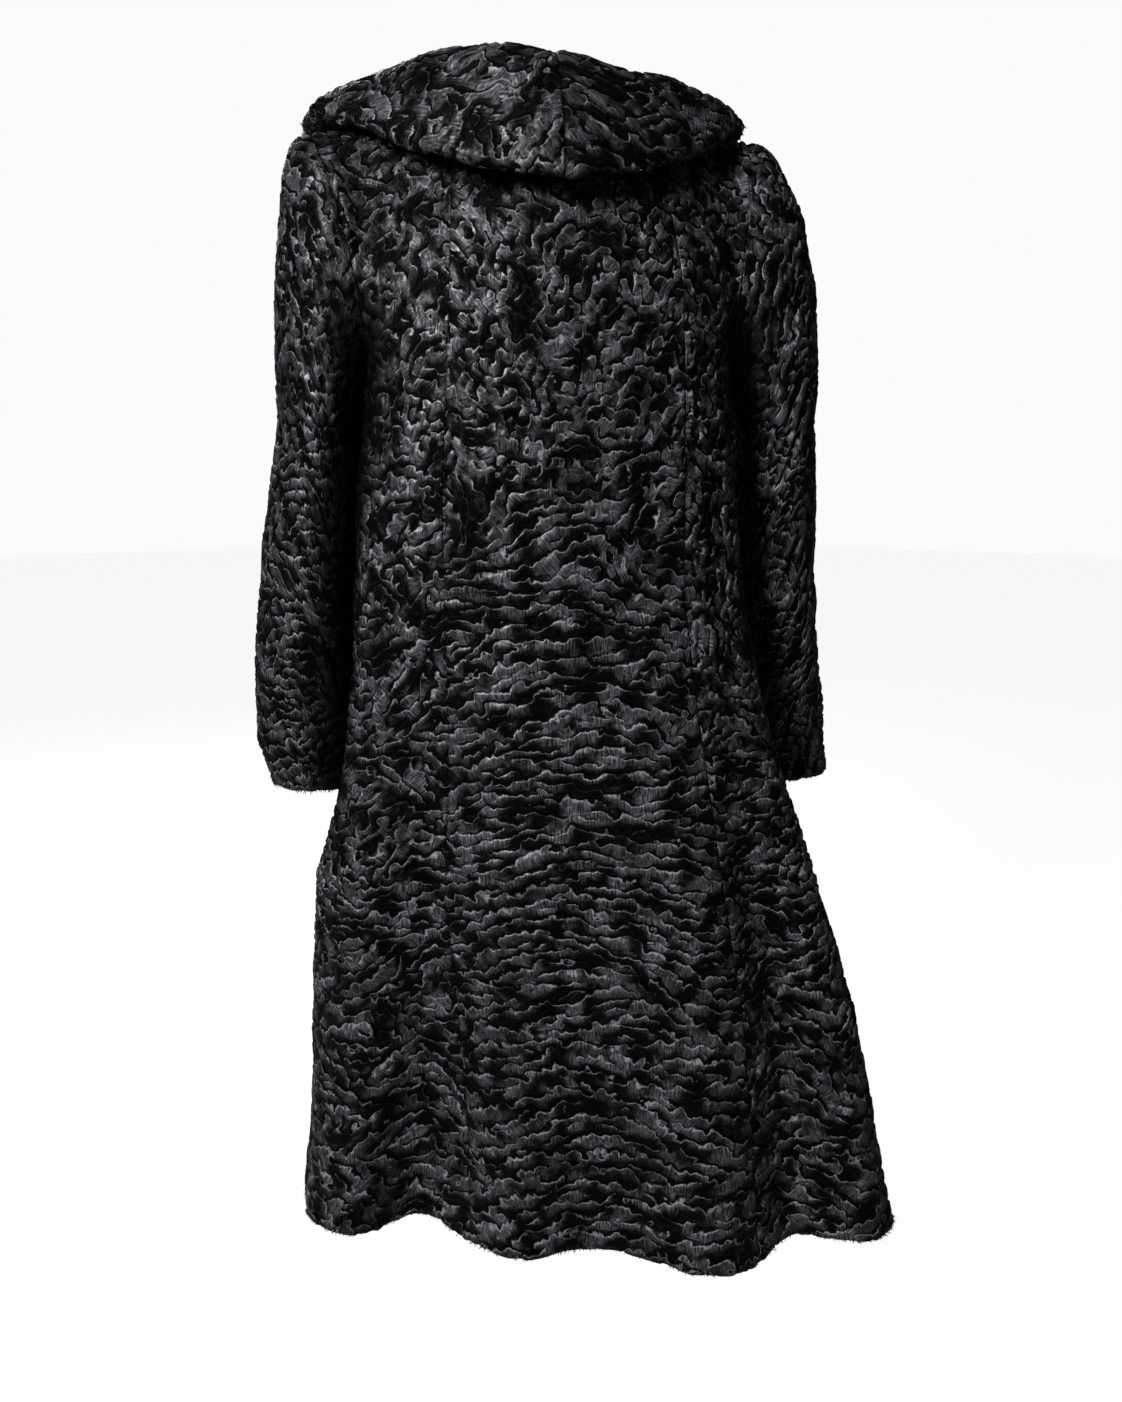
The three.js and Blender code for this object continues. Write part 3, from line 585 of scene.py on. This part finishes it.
HAIR_TURNS = (0, 45, 90, 135)  # the four directions between which the fine hairs turn
SHADE = 0.93  # how much of the fur's colour is darkened, as painted shade, where a sleeve lies against the body
SHADE_REACH = (14, 54)  # millimetres between the pieces
SHADE_TOP = (-110, -200)  # the heights between which it begins


def set_attribute(mesh, name, kind, field, values):
    mesh.attributes.new(name, kind, "POINT").data.foreach_set(field, values.astype(np.float32).ravel())


def dress(piece, node, materials):
    """Makes the mesh of one piece: its raised fur outside, and a plain skin side inside."""
    rows, columns = piece.fade.shape
    rise = (fur_height(piece) * RELIEF - SINK) * piece.fade + piece.swell * piece.fade
    outer = piece.grid + piece.normal * rise[..., None]
    piece.outer = outer
    ids = np.arange(rows * columns).reshape(rows, columns)
    fours = [quads(ids, piece.closed_columns, piece.closed_rows)]
    threes = []
    points = [outer.reshape(-1, 3)]
    skin = None
    if piece.closed_rows:
        half = piece.turning_row
        for column, flip in ((0, False), (columns - 1, True)):
            threes.append(zip_lines(ids[: half + 1, column], ids[half:, column][::-1], flip))
    else:
        row_picks = np.append(np.arange(0, rows - 1, COARSE), rows - 1)
        column_picks = np.arange(0, columns - 1, COARSE)
        if not piece.closed_columns:
            column_picks = np.append(column_picks, columns - 1)
        inner = piece.inner[np.ix_(row_picks, column_picks)]
        below = rows * columns + np.arange(inner.shape[0] * inner.shape[1]).reshape(inner.shape[:2])
        points.append(inner.reshape(-1, 3))
        inside = quads(below, piece.closed_columns, False)[:, ::-1]
        skin = (len(fours[0]), len(fours[0]) + len(inside))
        fours.append(inside)
        for row, flip in ((-1, False), (0, True)):
            lines = (ids[row], below[row])
            if piece.closed_columns:
                lines = [np.append(line, line[0]) for line in lines]
            threes.append(zip_lines(*lines, flip))
        if not piece.closed_columns:
            threes.append(zip_lines(ids[:, 0], below[:, 0], False))
            threes.append(zip_lines(ids[:, -1], below[:, -1], True))
    made = add_mesh(
        piece.name, np.concatenate(points), np.concatenate(fours), np.concatenate(threes), skin
    )
    spare = len(made.data.vertices) - rows * columns

    def pad(values):
        return np.concatenate([values.reshape(rows * columns, -1), np.zeros((spare, values.shape[-1]))])

    size = np.maximum(np.abs(piece.waves), 1e-6)
    waves = np.stack([piece.waves.real / size, piece.waves.imag / size, piece.tone], -1)
    set_attribute(made.data, "curl", "FLOAT_VECTOR", "vector", pad(waves))
    set_attribute(made.data, "open", "FLOAT", "value", pad(piece.open[..., None]))
    lie = np.angle(piece.turned) / 2
    weights = [np.clip(np.cos(2 * (lie - math.radians(turn))), 0, 1) ** 2 for turn in HAIR_TURNS]
    set_attribute(made.data, "hair", "FLOAT_COLOR", "color", pad(np.stack(weights, -1)))
    flat = np.stack([piece.steps(1) - piece.steps(1)[:, columns // 2][:, None], piece.steps(0)], -1) * MM
    corners = np.zeros(len(made.data.loops), np.int32)
    made.data.loops.foreach_get("vertex_index", corners)
    layer = made.data.uv_layers.new(name="flat")
    layer.data.foreach_set("uv", pad(flat)[corners].astype(np.float32).ravel())
    for material in materials:
        made.data.materials.append(material)
    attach(made, "root")
    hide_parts(node)
    return made


FRINGE_SPACING = 0.55  # millimetres of edge for each hair
FRINGE_LENGTHS = {"bottom": (2.0, 5.5), "low": (1.5, 4.0), "turn": (1.0, 2.6)}
FRINGE_HALF_WIDTH = (0.22, 0.6)
CLUMP = 9  # how many points of an edge share one lean
TURN_LINES = (-3, 2)  # the rows about the turn of a collar's edge that bear hairs
BOTTOM_LINES = 4
SIDE_LINES = 3
FRINGE_LEAN = 0.3
FRINGE_ROOT_SPREAD = 0.5
FRINGE_ROOT_DEPTH = 1.5
FRINGE_BEND_AT = 0.55
FRINGE_BEND = 0.175
FRINGE_TAPER = 0.7


def edge_lines(piece, edge):
    """Points along the lines beside a free edge, the way out over it, and the outward direction."""
    if edge == "turn":
        rows = piece.turning_row + np.arange(*TURN_LINES)
        return piece.outer[rows], piece.normal[rows], piece.across[rows]
    if edge == "bottom":
        rows = slice(-BOTTOM_LINES, None)
        return piece.outer[rows], piece.downward[rows], piece.normal[rows]
    columns = slice(0, SIDE_LINES)
    lines = (piece.outer[:, columns], -piece.across[:, columns], piece.normal[:, columns])
    return [line.swapaxes(0, 1) for line in lines]


def fringe(piece, edges, material):
    """Short hairs that stand over the free edges of one piece, as one mesh."""
    points = []
    for edge in edges:
        places, ways, normals = edge_lines(piece, edge)
        length = np.linalg.norm(np.diff(places[-1], axis=0), axis=-1).sum()
        count = int(length / FRINGE_SPACING)
        line = rng.integers(0, len(places), count)
        along = rng.integers(0, places.shape[1], count)
        clump = along // CLUMP
        lean = rng.normal(size=(places.shape[1] // CLUMP + 1, 3))[clump]
        root = places[line, along] + rng.normal(size=(count, 3)) * FRINGE_ROOT_SPREAD
        scatter = normals[line, along] + lean + rng.normal(size=(count, 3))
        way = unit(ways[line, along] + FRINGE_LEAN * scatter)
        reach = rng.uniform(*FRINGE_LENGTHS[edge], count)[:, None]
        half = rng.uniform(*FRINGE_HALF_WIDTH, count)[:, None] * unit(np.cross(way, normals[line, along]))
        middle = root + way * reach * FRINGE_BEND_AT
        tip = root + (way + FRINGE_BEND * lean) * reach
        root = root - way * FRINGE_ROOT_DEPTH
        narrow = half * FRINGE_TAPER
        points.append(np.stack([root - half, root + half, middle - narrow, middle + narrow, tip], 1))
    points = np.concatenate(points)
    first = np.arange(len(points))[:, None] * 5
    made = add_mesh(f"{piece.name}_hairs", points.reshape(-1, 3), first + (0, 1, 3, 2), first + (2, 3, 4))
    made.data.materials.append(material)
    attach(made, "root")
    return made


SWELL = (0.8, 60)  # the height and the length of the fur's soft unevenness, in millimetres
TONE_LENGTH = 30
WANDER_LENGTH = 95
THIN_AT_SEAM = 0.25  # the share of the wall that is left at a seam
SEAM_TAPER = 12
SHADE_PICK = 2  # every second point, each way, is enough to measure the distance from


def shade_contact(one, other):
    """Paints shade into the fur of one piece where it lies close to the other one, below the armhole."""
    places = other.grid[::SHADE_PICK, ::SHADE_PICK].reshape(-1, 3)
    tree = kdtree.KDTree(len(places))
    for index, point in enumerate(places.tolist()):
        tree.insert(point, index)
    tree.balance()
    points = one.grid.reshape(-1, 3)
    apart = np.fromiter((tree.find(point)[2] for point in points.tolist()), float, len(points))
    near = (1 - smooth(*SHADE_REACH, apart)) * smooth(*SHADE_TOP, points[:, 2])
    one.open = np.minimum(one.open, 1 - SHADE * near.reshape(one.open.shape))


def finish_piece(piece):
    """Works out what the fur and the inner side need once a piece's outer form is final."""
    piece.measure()
    flat = piece.grid.reshape(-1, 3)
    shape = piece.fade.shape
    piece.inner = piece.base - piece.normal * (WALL * lerp(THIN_AT_SEAM, 1, piece.taper))[..., None]
    piece.swell = SWELL[0] * plane_waves(flat, SWELL[1]).reshape(shape)
    piece.tone = plane_waves(flat, TONE_LENGTH).reshape(shape)
    piece.angle = piece.angle + piece.wander * plane_waves(flat, WANDER_LENGTH).reshape(shape)


def calm(piece, low, wander, jitter, stretch):
    """Makes the ridges longer and more level, up to the values given where low is 1."""
    piece.wander = lerp(piece.wander, wander, low)
    piece.jitter = lerp(piece.jitter, jitter, low)
    piece.stretch = lerp(piece.stretch, stretch, low)


HEM_EDGE = (5.5, 2.0)  # the radius and the swelling of the hem and the cuffs
FRONT_EDGE = {"fur_front_left": (5, 0), "fur_front_right": (5, 1.5)}
HEM_CURLS = (1.55, 1.9)  # the way down over which the curls grow
HEM_GROWTH = 0.4
BODY_WANDER = 1.7  # how far the ridges' direction wanders, in radians


def make_body(name, turns_at, front, columns, seams, free=(), step=STEP):
    grid, turn, down = body_grid(turns_at, front, columns, step)
    piece = Piece(name, grid)
    piece.turn = turn
    piece.down = down
    if name == "fur_front_right":
        beyond = (turn + 180) / (180 - SIDE_TURN)
        lift = LAP_LIFT * (1 - smooth(0, LAP_RUN_UP, beyond))
        piece.grid = grid + piece.normal * lift[..., None]
    piece.base = piece.grid
    piece.taper = np.ones(grid.shape[:2])
    for edge in seams:
        piece.taper = piece.taper * smooth(0, SEAM_TAPER, piece.from_edge(edge))
        piece.seam(edge)
    piece.rounded("bottom", *HEM_EDGE)
    for edge in free:
        piece.rounded(edge, *FRONT_EDGE[name])
    piece.wave = WAVE * (1 + HEM_GROWTH * smooth(*HEM_CURLS, down))
    piece.wander = np.full(turn.shape, BODY_WANDER)
    return piece


SLEEVE_LENGTH = 640
SLEEVE_GIRTH = 395
SLEEVE_SEAM = (0.6, 7)  # the depth and the width of the groove round the armhole
SLEEVE_WANDER = 1.6
SLEEVE_LEVEL = (0.55, 0.75)  # the shares of the length over which the ridges come to lie level


def make_sleeve(name, side):
    share = np.linspace(0, 1, even(SLEEVE_LENGTH))[:, None]
    angle = -side * np.linspace(0, 2 * np.pi, even(SLEEVE_GIRTH), endpoint=False)[None, :]
    piece = Piece(name, sleeve_point(angle + 0 * share, share + 0 * angle, side), closed_columns=True)
    piece.base = piece.grid
    piece.taper = smooth(0, SEAM_TAPER, piece.from_edge("top"))
    piece.seam("top", *SLEEVE_SEAM)
    piece.rounded("bottom", *HEM_EDGE)
    piece.wander = np.full(piece.fade.shape, SLEEVE_WANDER)
    low = smooth(*SLEEVE_LEVEL, share) + 0 * angle
    calm(piece, low, wander=0.4, jitter=0.32, stretch=1.9)
    return piece


COLLAR_LENGTH = 470
COLLAR_DEPTH = 165
PATH_STEP = 0.005
COLLAR_THICKENS = ((0, 0.2), (0.6, 1))  # the shares over which the wall grows twice
COLLAR_FREE = 0.16  # the share at which the layers have left their seam
COLLAR_EDGE_POINTS = 10
COLLAR_SEAM = (1.2, 5)
COLLAR_END = (5, 0)
SEAT_FADE = 25
COLLAR_WANDER = {1: 0.9, -1: 0.35}


def make_collar(name, side):
    turn = np.linspace(COLLAR_START_TURN, COLLAR_END_TURN, even(COLLAR_LENGTH))[None, :]
    shares = np.linspace(0, 1, even(COLLAR_DEPTH))[:, None]

    def path(share):
        turns = turn + 0 * share
        out, up, along = collar_line(turns, share + 0 * turn, side)
        before = collar_line(turns, np.maximum(share - PATH_STEP, 0) + 0 * turn, side)
        after = collar_line(turns, np.minimum(share + PATH_STEP, 1) + 0 * turn, side)
        move_out = after[0] - before[0]
        move_up = after[1] - before[1]
        size = np.hypot(move_out, move_up)
        grown = lerp(WALL / 2, COLLAR_HALF_THICK, smooth(*COLLAR_THICKENS[0], share))
        half = lerp(grown, COLLAR_EDGE_HALF_THICK, smooth(*COLLAR_THICKENS[1], share))
        return out, up, along, move_out / size, move_up / size, half

    outer_seam, inner_seam = neck_seam(turn[0], side)
    out, up, along, path_out, path_up, half = path(shares)
    free = smooth(0, COLLAR_FREE, shares)[..., None]
    above = collar_place(out - path_up * half, up + path_out * half, along, side)
    beneath = collar_place(out + path_up * half, up - path_out * half, along, side)
    face = lerp(inner_seam[None], above, free)
    under = lerp(outer_seam[None], beneath, free)
    angle = np.linspace(0, np.pi, COLLAR_EDGE_POINTS + 2)[1:-1, None]
    out, up, along, path_out, path_up, half = path(np.ones((1, 1)))
    edge_out = out + half * (np.sin(angle) * path_out - np.cos(angle) * path_up)
    edge_up = up + half * (np.sin(angle) * path_up + np.cos(angle) * path_out)
    edge = collar_place(edge_out, edge_up, along + 0 * angle, side)
    grid = np.concatenate([face, edge, under[::-2]])
    turning_row = len(face) + len(edge) // 2
    if side < 0:
        grid = grid[:, ::-1]
    piece = Piece(name, grid, closed_rows=True)
    piece.base = piece.grid
    piece.turning_row = turning_row
    piece.taper = np.ones(grid.shape[:2])
    piece.seam("low" if side > 0 else "high", *COLLAR_SEAM)
    piece.rounded("high" if side > 0 else "low", *COLLAR_END)
    rows = np.arange(len(grid))[:, None]
    seat = np.minimum(rows, len(grid) - 1 - rows) * STEP
    piece.fade = piece.fade * smooth(0, SEAT_FADE, seat + 0 * piece.fade)
    piece.wander = np.full(piece.fade.shape, COLLAR_WANDER[side])
    return piece


# Materials


def node(tree, kind, **values):
    made = tree.nodes.new(kind)
    for name, value in values.items():
        setattr(made, name, value)
    return made


def maths(tree, operation, one, other=None, clamp=False):
    made = node(tree, "ShaderNodeMath", operation=operation, use_clamp=clamp)
    for index, value in enumerate((one, other)):
        if value is None:
            continue
        if isinstance(value, (int, float)):
            made.inputs[index].default_value = value
        else:
            tree.links.new(value, made.inputs[index])
    return made.outputs[0]


def ramp(tree, value, stops):
    made = node(tree, "ShaderNodeValToRGB")
    elements = made.color_ramp.elements
    while len(elements) < len(stops):
        elements.new(0.5)
    for element, (place, level) in zip(elements, stops):
        element.position = place
        element.color = (level, level, level, 1) if isinstance(level, (int, float)) else (*level, 1)
    tree.links.new(value, made.inputs[0])
    return made.outputs[0]


def noise(tree, vector, scale, detail=2):
    made = node(tree, "ShaderNodeTexNoise")
    made.inputs["Scale"].default_value = scale
    made.inputs["Detail"].default_value = detail
    tree.links.new(vector, made.inputs["Vector"])
    return made.outputs["Fac"]


def turned_noise(tree, vector, scales, turn):
    """Noise with its own scale along and across a direction in the plane."""
    mapping = node(tree, "ShaderNodeMapping", vector_type="TEXTURE")
    mapping.inputs["Rotation"].default_value = (0, 0, turn)
    mapping.inputs["Scale"].default_value = (1 / scales[0], 1 / scales[1], 1)
    tree.links.new(vector, mapping.inputs["Vector"])
    return noise(tree, mapping.outputs[0], 1)


def bump(tree, height, distance, strength=1.0, below=None):
    made = node(tree, "ShaderNodeBump")
    made.inputs["Distance"].default_value = distance
    made.inputs["Strength"].default_value = strength
    tree.links.new(height, made.inputs["Height"])
    if below is not None:
        tree.links.new(below, made.inputs["Normal"])
    return made.outputs[0]


# Across a ridge, from one gap to the next, RIDGE is how high the fur stands, steep on one side and
# long on the other, and the colour follows it: painted shade in the gaps, painted light on the tops.
# CREST is where its two thin painted highlights run. Where that height and the patches together
# pass EDGE, the hair lies flat and the colour paints its sheen.
RIDGE = (
    (0, 0), (0.07, 0.03), (0.15, 0.95), (0.23, 1), (0.36, 0.74),
    (0.5, 0.8), (0.68, 0.5), (0.86, 0.14), (1, 0),
)
CREST = ((0.08, 0), (0.13, 1), (0.18, 1), (0.25, 0), (0.7, 0), (0.76, 0.7), (0.81, 0.7), (0.87, 0))
EDGE = 0.5
SHINE = (
    (0, 0), (EDGE - 0.14, 0.06), (EDGE - 0.02, 0.3),
    (EDGE + 0.15, 0.52), (EDGE + 0.35, 0.7), (1, 0.8),
)
RISE = ((0, 0), (EDGE - 0.16, 0.08), (EDGE, 0.6), (EDGE + 0.12, 0.9), (1, 1))
# The fur's colour from lit: its dark end is painted shade in the gaps, its grey end painted sheen and
# highlights on the ridges.
FUR_COLOURS_AND_PAINTED_LIGHT = (
    (0, (0.0005, 0.0005, 0.0006)), (0.2, (0.005, 0.005, 0.0055)), (0.45, (0.026, 0.0267, 0.029)),
    (0.7, (0.066, 0.0676, 0.074)), (1, (0.15, 0.154, 0.165)),
)

# Noise as its features in a metre, its detail and the size of what it adds.
BENDS = ((70, 1, 1.1), (210, 0, 0.22))
PATCHES = (38, 1, 2.4)
RAGGED = (520, 2, 0.08)
RIDGE_LEVEL = 0.74
FULL_LEVEL = 0.09
TONE_LEVEL = 0.1
HAIR_SCALES = (620, 90)  # across the fine hairs and along them
STREAKS = ((0.36, 0.2), (0.5, 0.7), (0.62, 1.0))
BREAK_NOISE = (130, 3)
BREAKS = ((0.4, 0.3), (0.55, 1))
CREST_FULL = ((0.15, 0.2), (0.5, 1))
CREST_LEVEL = 0.6
CLOUD_SCALE = 17
CLOUDS = ((0.3, 0.55), (0.5, 0.85), (0.68, 1))
FUR_SPECULAR = ((0, 0.02), (0.35, 0.3), (0.8, 0.68))
FUR_ROUGHNESS = ((0, 0.7), (0.4, 0.48), (1, 0.4))


def fur_material():
    material = bpy.data.materials.new("black_curled_fur")
    material.use_nodes = True
    tree = material.node_tree
    shader = tree.nodes["Principled BSDF"]
    curl = node(tree, "ShaderNodeAttribute", attribute_name="curl")
    hair = node(tree, "ShaderNodeAttribute", attribute_name="hair")
    painted_contact_shade = node(tree, "ShaderNodeAttribute", attribute_name="open")
    flat = node(tree, "ShaderNodeUVMap", uv_map="flat").outputs[0]
    parts = node(tree, "ShaderNodeSeparateXYZ")
    tree.links.new(curl.outputs["Vector"], parts.inputs[0])
    real, imaginary, tone = parts.outputs

    def product(*values):
        result = values[0]
        for value in values[1:]:
            result = maths(tree, "MULTIPLY", result, value)
        return result

    def total(*values):
        result = values[0]
        for value in values[1:]:
            result = maths(tree, "ADD", result, value)
        return result

    def uneven(scale, detail, size):
        return product(total(noise(tree, flat, scale, detail), -0.5), size)

    # the ridge's share, from 0 to 1, bent by uneven hair
    phase = maths(tree, "ARCTAN2", imaginary, real)
    turns = maths(tree, "DIVIDE", phase, 2 * math.pi)
    share = maths(tree, "FRACT", total(turns, *(uneven(*bend_noise) for bend_noise in BENDS), 2))
    patches = total(uneven(*PATCHES), product(tone, TONE_LEVEL))
    height = product(ramp(tree, share, RIDGE), RIDGE_LEVEL)
    full = maths(tree, "ADD", total(height, patches, uneven(*RAGGED)), FULL_LEVEL, clamp=True)
    # the fine hairs run across each ridge
    directions = node(tree, "ShaderNodeSeparateColor")
    tree.links.new(hair.outputs["Color"], directions.inputs[0])
    hairs = total(*(
        product(turned_noise(tree, flat, HAIR_SCALES, math.radians(turn)), weight)
        for turn, weight in zip(HAIR_TURNS, (*directions.outputs, hair.outputs["Alpha"]))
    ))
    broken = ramp(tree, noise(tree, flat, *BREAK_NOISE), BREAKS)
    crest = product(ramp(tree, share, CREST), ramp(tree, full, CREST_FULL), broken, CREST_LEVEL)
    lit = total(product(ramp(tree, full, SHINE), ramp(tree, hairs, STREAKS)), crest)
    lit = product(lit, ramp(tree, noise(tree, flat, CLOUD_SCALE), CLOUDS))
    # painted shade where a sleeve lies against the body darkens the colour and the specular tint
    lit = maths(tree, "MULTIPLY", lit, painted_contact_shade.outputs["Fac"], clamp=True)
    # lit sets the colour, specular tint and roughness, so its painted sheen, highlights and shade show in
    # all three.
    tree.links.new(ramp(tree, lit, FUR_COLOURS_AND_PAINTED_LIGHT), shader.inputs["Base Color"])
    tree.links.new(ramp(tree, lit, FUR_SPECULAR), shader.inputs["Specular Tint"])
    tree.links.new(ramp(tree, lit, FUR_ROUGHNESS), shader.inputs["Roughness"])
    shader.inputs["Specular IOR Level"].default_value = 0.65
    coarse = bump(tree, ramp(tree, full, RISE), distance=0.0012, strength=0.8)
    fine = bump(tree, hairs, distance=0.0005, strength=0.6, below=coarse)
    tree.links.new(fine, shader.inputs["Normal"])
    return material


def hair_material():
    material = bpy.data.materials.new("black_hair")
    material.use_nodes = True
    shader = material.node_tree.nodes["Principled BSDF"]
    shader.inputs["Base Color"].default_value = (0.005, 0.005, 0.006, 1)
    shader.inputs["Roughness"].default_value = 0.45
    return material


def skin_material():
    material = bpy.data.materials.new("dark_skin_side")
    material.use_nodes = True
    tree = material.node_tree
    shader = tree.nodes["Principled BSDF"]
    flat = node(tree, "ShaderNodeUVMap", uv_map="flat")
    cloud = noise(tree, flat.outputs[0], 60, 4)
    grain = noise(tree, flat.outputs[0], 900, 2)
    colour = ramp(tree, cloud, ((0.3, (0.012, 0.011, 0.011)), (0.7, (0.024, 0.022, 0.021))))
    tree.links.new(colour, shader.inputs["Base Color"])
    shader.inputs["Roughness"].default_value = 0.85
    tree.links.new(bump(tree, grain, distance=0.0003), shader.inputs["Normal"])
    return material


# The pieces

CENTRE_WIDTH = 262  # widths from which a panel's columns are counted
SIDE_WIDTH = 330
FRONT_LEFT_COLUMNS = even(400, FRONT_STEP)
FRONT_RIGHT_COLUMNS = even(440, FRONT_STEP)
BACK_SEAMS = ("top", "low", "high")

pieces = {
    "back_centre": make_body("fur_back_centre", back_centre_turn, False, even(CENTRE_WIDTH), BACK_SEAMS),
    "back_left": make_body("fur_back_left", back_left_turn, False, even(SIDE_WIDTH), BACK_SEAMS),
    "back_right": make_body("fur_back_right", back_right_turn, False, even(SIDE_WIDTH), BACK_SEAMS),
    "front_left": make_body(
        "fur_front_left", front_left_turn, True, FRONT_LEFT_COLUMNS,
        ("top", "low"), ("high",), FRONT_STEP,
    ),
    "front_right": make_body(
        "fur_front_right", front_right_turn, True, FRONT_RIGHT_COLUMNS,
        ("top", "high"), ("low",), FRONT_STEP,
    ),
    "sleeve_left": make_sleeve("fur_sleeve_left", 1),
    "sleeve_right": make_sleeve("fur_sleeve_right", -1),
    "collar_left": make_collar("fur_collar_left", 1),
    "collar_right": make_collar("fur_collar_right", -1),
}

# On the skirt's back the ridges lie level. The levels are ways down, as in panel_point.
SIDE_LEVEL = (1.15, 1.4)
CENTRE_LEVEL = (1.06, 1.22)
CENTRE_END = (1.7, 1.95)
ARCH_WIDTH = 260
ARCH_ANGLE = 0.35
for side_back in (pieces["back_left"], pieces["back_right"]):
    low = smooth(*SIDE_LEVEL, side_back.down)
    calm(side_back, low, wander=0.51, jitter=0.35, stretch=1.7)

# Across the lower centre back they also arch over the middle of the pelt.
centre = pieces["back_centre"]
low = smooth(*CENTRE_LEVEL, centre.down)
middle = centre.grid[:, centre.grid.shape[1] // 2][:, None, :]
beside = ((centre.grid - middle) * centre.across).sum(-1)
centre.angle = low * np.clip(beside / ARCH_WIDTH, -ARCH_ANGLE, ARCH_ANGLE)
calm(centre, low, wander=0.17, jitter=0.22, stretch=2.2)
centre.stretch = lerp(centre.stretch, STRETCH, smooth(*CENTRE_END, centre.down))

# The left front is smooth where the right one laps over it.
LAP_FADE = (-3, -1)  # degrees from the right front's edge
under_lap = pieces["front_left"]
edge_turn = 180 - (180 - SIDE_TURN) * share_down(LAP, under_lap.down)
under_lap.fade = under_lap.fade * (1 - smooth(*LAP_FADE, under_lap.turn - edge_turn))

# Along the right side of the collar the ridges follow its roll.
calm(pieces["collar_right"], 1, wander=COLLAR_WANDER[-1], jitter=0.3, stretch=2.2)

# Painted shade: the fur's colour darkens where a sleeve and the body lie close together.
for hand in ("left", "right"):
    for place in ("back", "front"):
        sleeve = pieces[f"sleeve_{hand}"]
        panel = pieces[f"{place}_{hand}"]
        shade_contact(sleeve, panel)
        shade_contact(panel, sleeve)

for piece in pieces.values():
    finish_piece(piece)
sum_of_waves(list(pieces.values()))
materials = (fur_material(), skin_material())

# The cut of each piece before the coat was worn: width and length of the rectangle it is cut from
# and its own area, in metres, then its free edges and how it is held. A sleeve is cut all round.
CUTS = {
    "back_centre": ((0.335, 1.2), 0.3, ("bottom",), "hung"),
    "back_left": ((0.25, 1.19), 0.19, ("bottom",), "hung"),
    "back_right": ((0.21, 1.21), 0.175, ("bottom",), "hung"),
    "front_left": ((0.42, 1.2), 0.325, ("bottom",), "hung"),
    "front_right": ((0.52, 1.2), 0.41, ("bottom", "low"), "hung"),
    "sleeve_left": ((0.4, 0.64), 0.185, ("bottom",), "hung"),
    "sleeve_right": ((0.41, 0.68), 0.205, ("bottom",), "hung"),
    "collar_left": ((0.51, 0.235), 0.075, ("turn",), "folded"),
    "collar_right": ((0.51, 0.235), 0.075, ("turn",), "folded"),
}
hair = hair_material()
for node_name, (flat_size, flat_area, free_edges, held) in CUTS.items():
    fur = dress(pieces[node_name], node_name, materials)
    edge_hair = fringe(pieces[node_name], free_edges, hair)

# The floor, the light and the camera

FLOOR_Z = -1.42
PALE = (0.96, 0.96, 0.96, 1)  # the colour of the floor and the background as the camera sees them
bpy.ops.mesh.primitive_circle_add(vertices=96, radius=9, fill_type="NGON", location=(0, 0, FLOOR_Z))
floor = bpy.context.object
floor.name = "floor"
pale = bpy.data.materials.new("pale_floor")
pale.use_nodes = True
pale_shader = pale.node_tree.nodes["Principled BSDF"]
pale_shader.inputs["Base Color"].default_value = (0.14, 0.14, 0.14, 1)
pale_shader.inputs["Roughness"].default_value = 0.9
pale_shader.inputs["Emission Color"].default_value = PALE
eye = node(pale.node_tree, "ShaderNodeLightPath")
pale.node_tree.links.new(
    maths(pale.node_tree, "MULTIPLY", eye.outputs["Is Camera Ray"], 0.95),
    pale_shader.inputs["Emission Strength"],
)
floor.data.materials.append(pale)

world = bpy.data.worlds.new("studio")
world.use_nodes = True
backdrop = world.node_tree.nodes["Background"]
backdrop.inputs["Color"].default_value = PALE
AMBIENT = 0.045  # the backdrop's strength for all rays but the camera's
light_path = node(world.node_tree, "ShaderNodeLightPath")
seen = maths(world.node_tree, "MULTIPLY", light_path.outputs["Is Camera Ray"], 1 - AMBIENT)
world.node_tree.links.new(maths(world.node_tree, "ADD", seen, AMBIENT), backdrop.inputs["Strength"])
bpy.context.scene.world = world

AIM = Vector((0, 0, -0.5))


def soft_light(name, place, size, power):
    light = bpy.data.lights.new(name, "AREA")
    light.shape = "DISK"
    light.size = size
    light.energy = power
    light.specular_factor = 0.75
    lamp = bpy.data.objects.new(name, light)
    lamp.location = place
    lamp.rotation_euler = (Vector(place) - AIM).to_track_quat("Z", "Y").to_euler()
    bpy.context.scene.collection.objects.link(lamp)


soft_light("key", (1.7, 1.95, 0.85), 0.9, 145)
soft_light("fill", (-1.0, 2.5, 0.1), 1.4, 3.5)
soft_light("front", (0.4, -2.6, 1.0), 1.6, 75)

CAMERA_TURN = math.radians(168)
CAMERA_PITCH = math.radians(13)
CAMERA_DISTANCE = 1.37
CAMERA_BESIDE = 0.0245
CAMERA_Z = -0.223
FOCAL_PIXELS = 1400
PHOTO_HIGH = 1402
SENSOR = 36
forward = Vector((-math.sin(CAMERA_TURN), math.cos(CAMERA_TURN), 0))
beside_view = forward.cross(Vector((0, 0, 1)))
camera_data = bpy.data.cameras.new("camera")
camera_data.sensor_width = SENSOR
camera_data.lens = SENSOR * FOCAL_PIXELS / PHOTO_HIGH
camera = bpy.data.objects.new("camera", camera_data)
camera.location = beside_view * CAMERA_BESIDE - forward * CAMERA_DISTANCE
camera.location.z = CAMERA_Z
look = forward * math.cos(CAMERA_PITCH) - Vector((0, 0, math.sin(CAMERA_PITCH)))
camera.rotation_euler = look.to_track_quat("-Z", "Y").to_euler()
bpy.context.scene.collection.objects.link(camera)
bpy.context.scene.camera = camera
bpy.context.scene.view_settings.view_transform = "Standard"
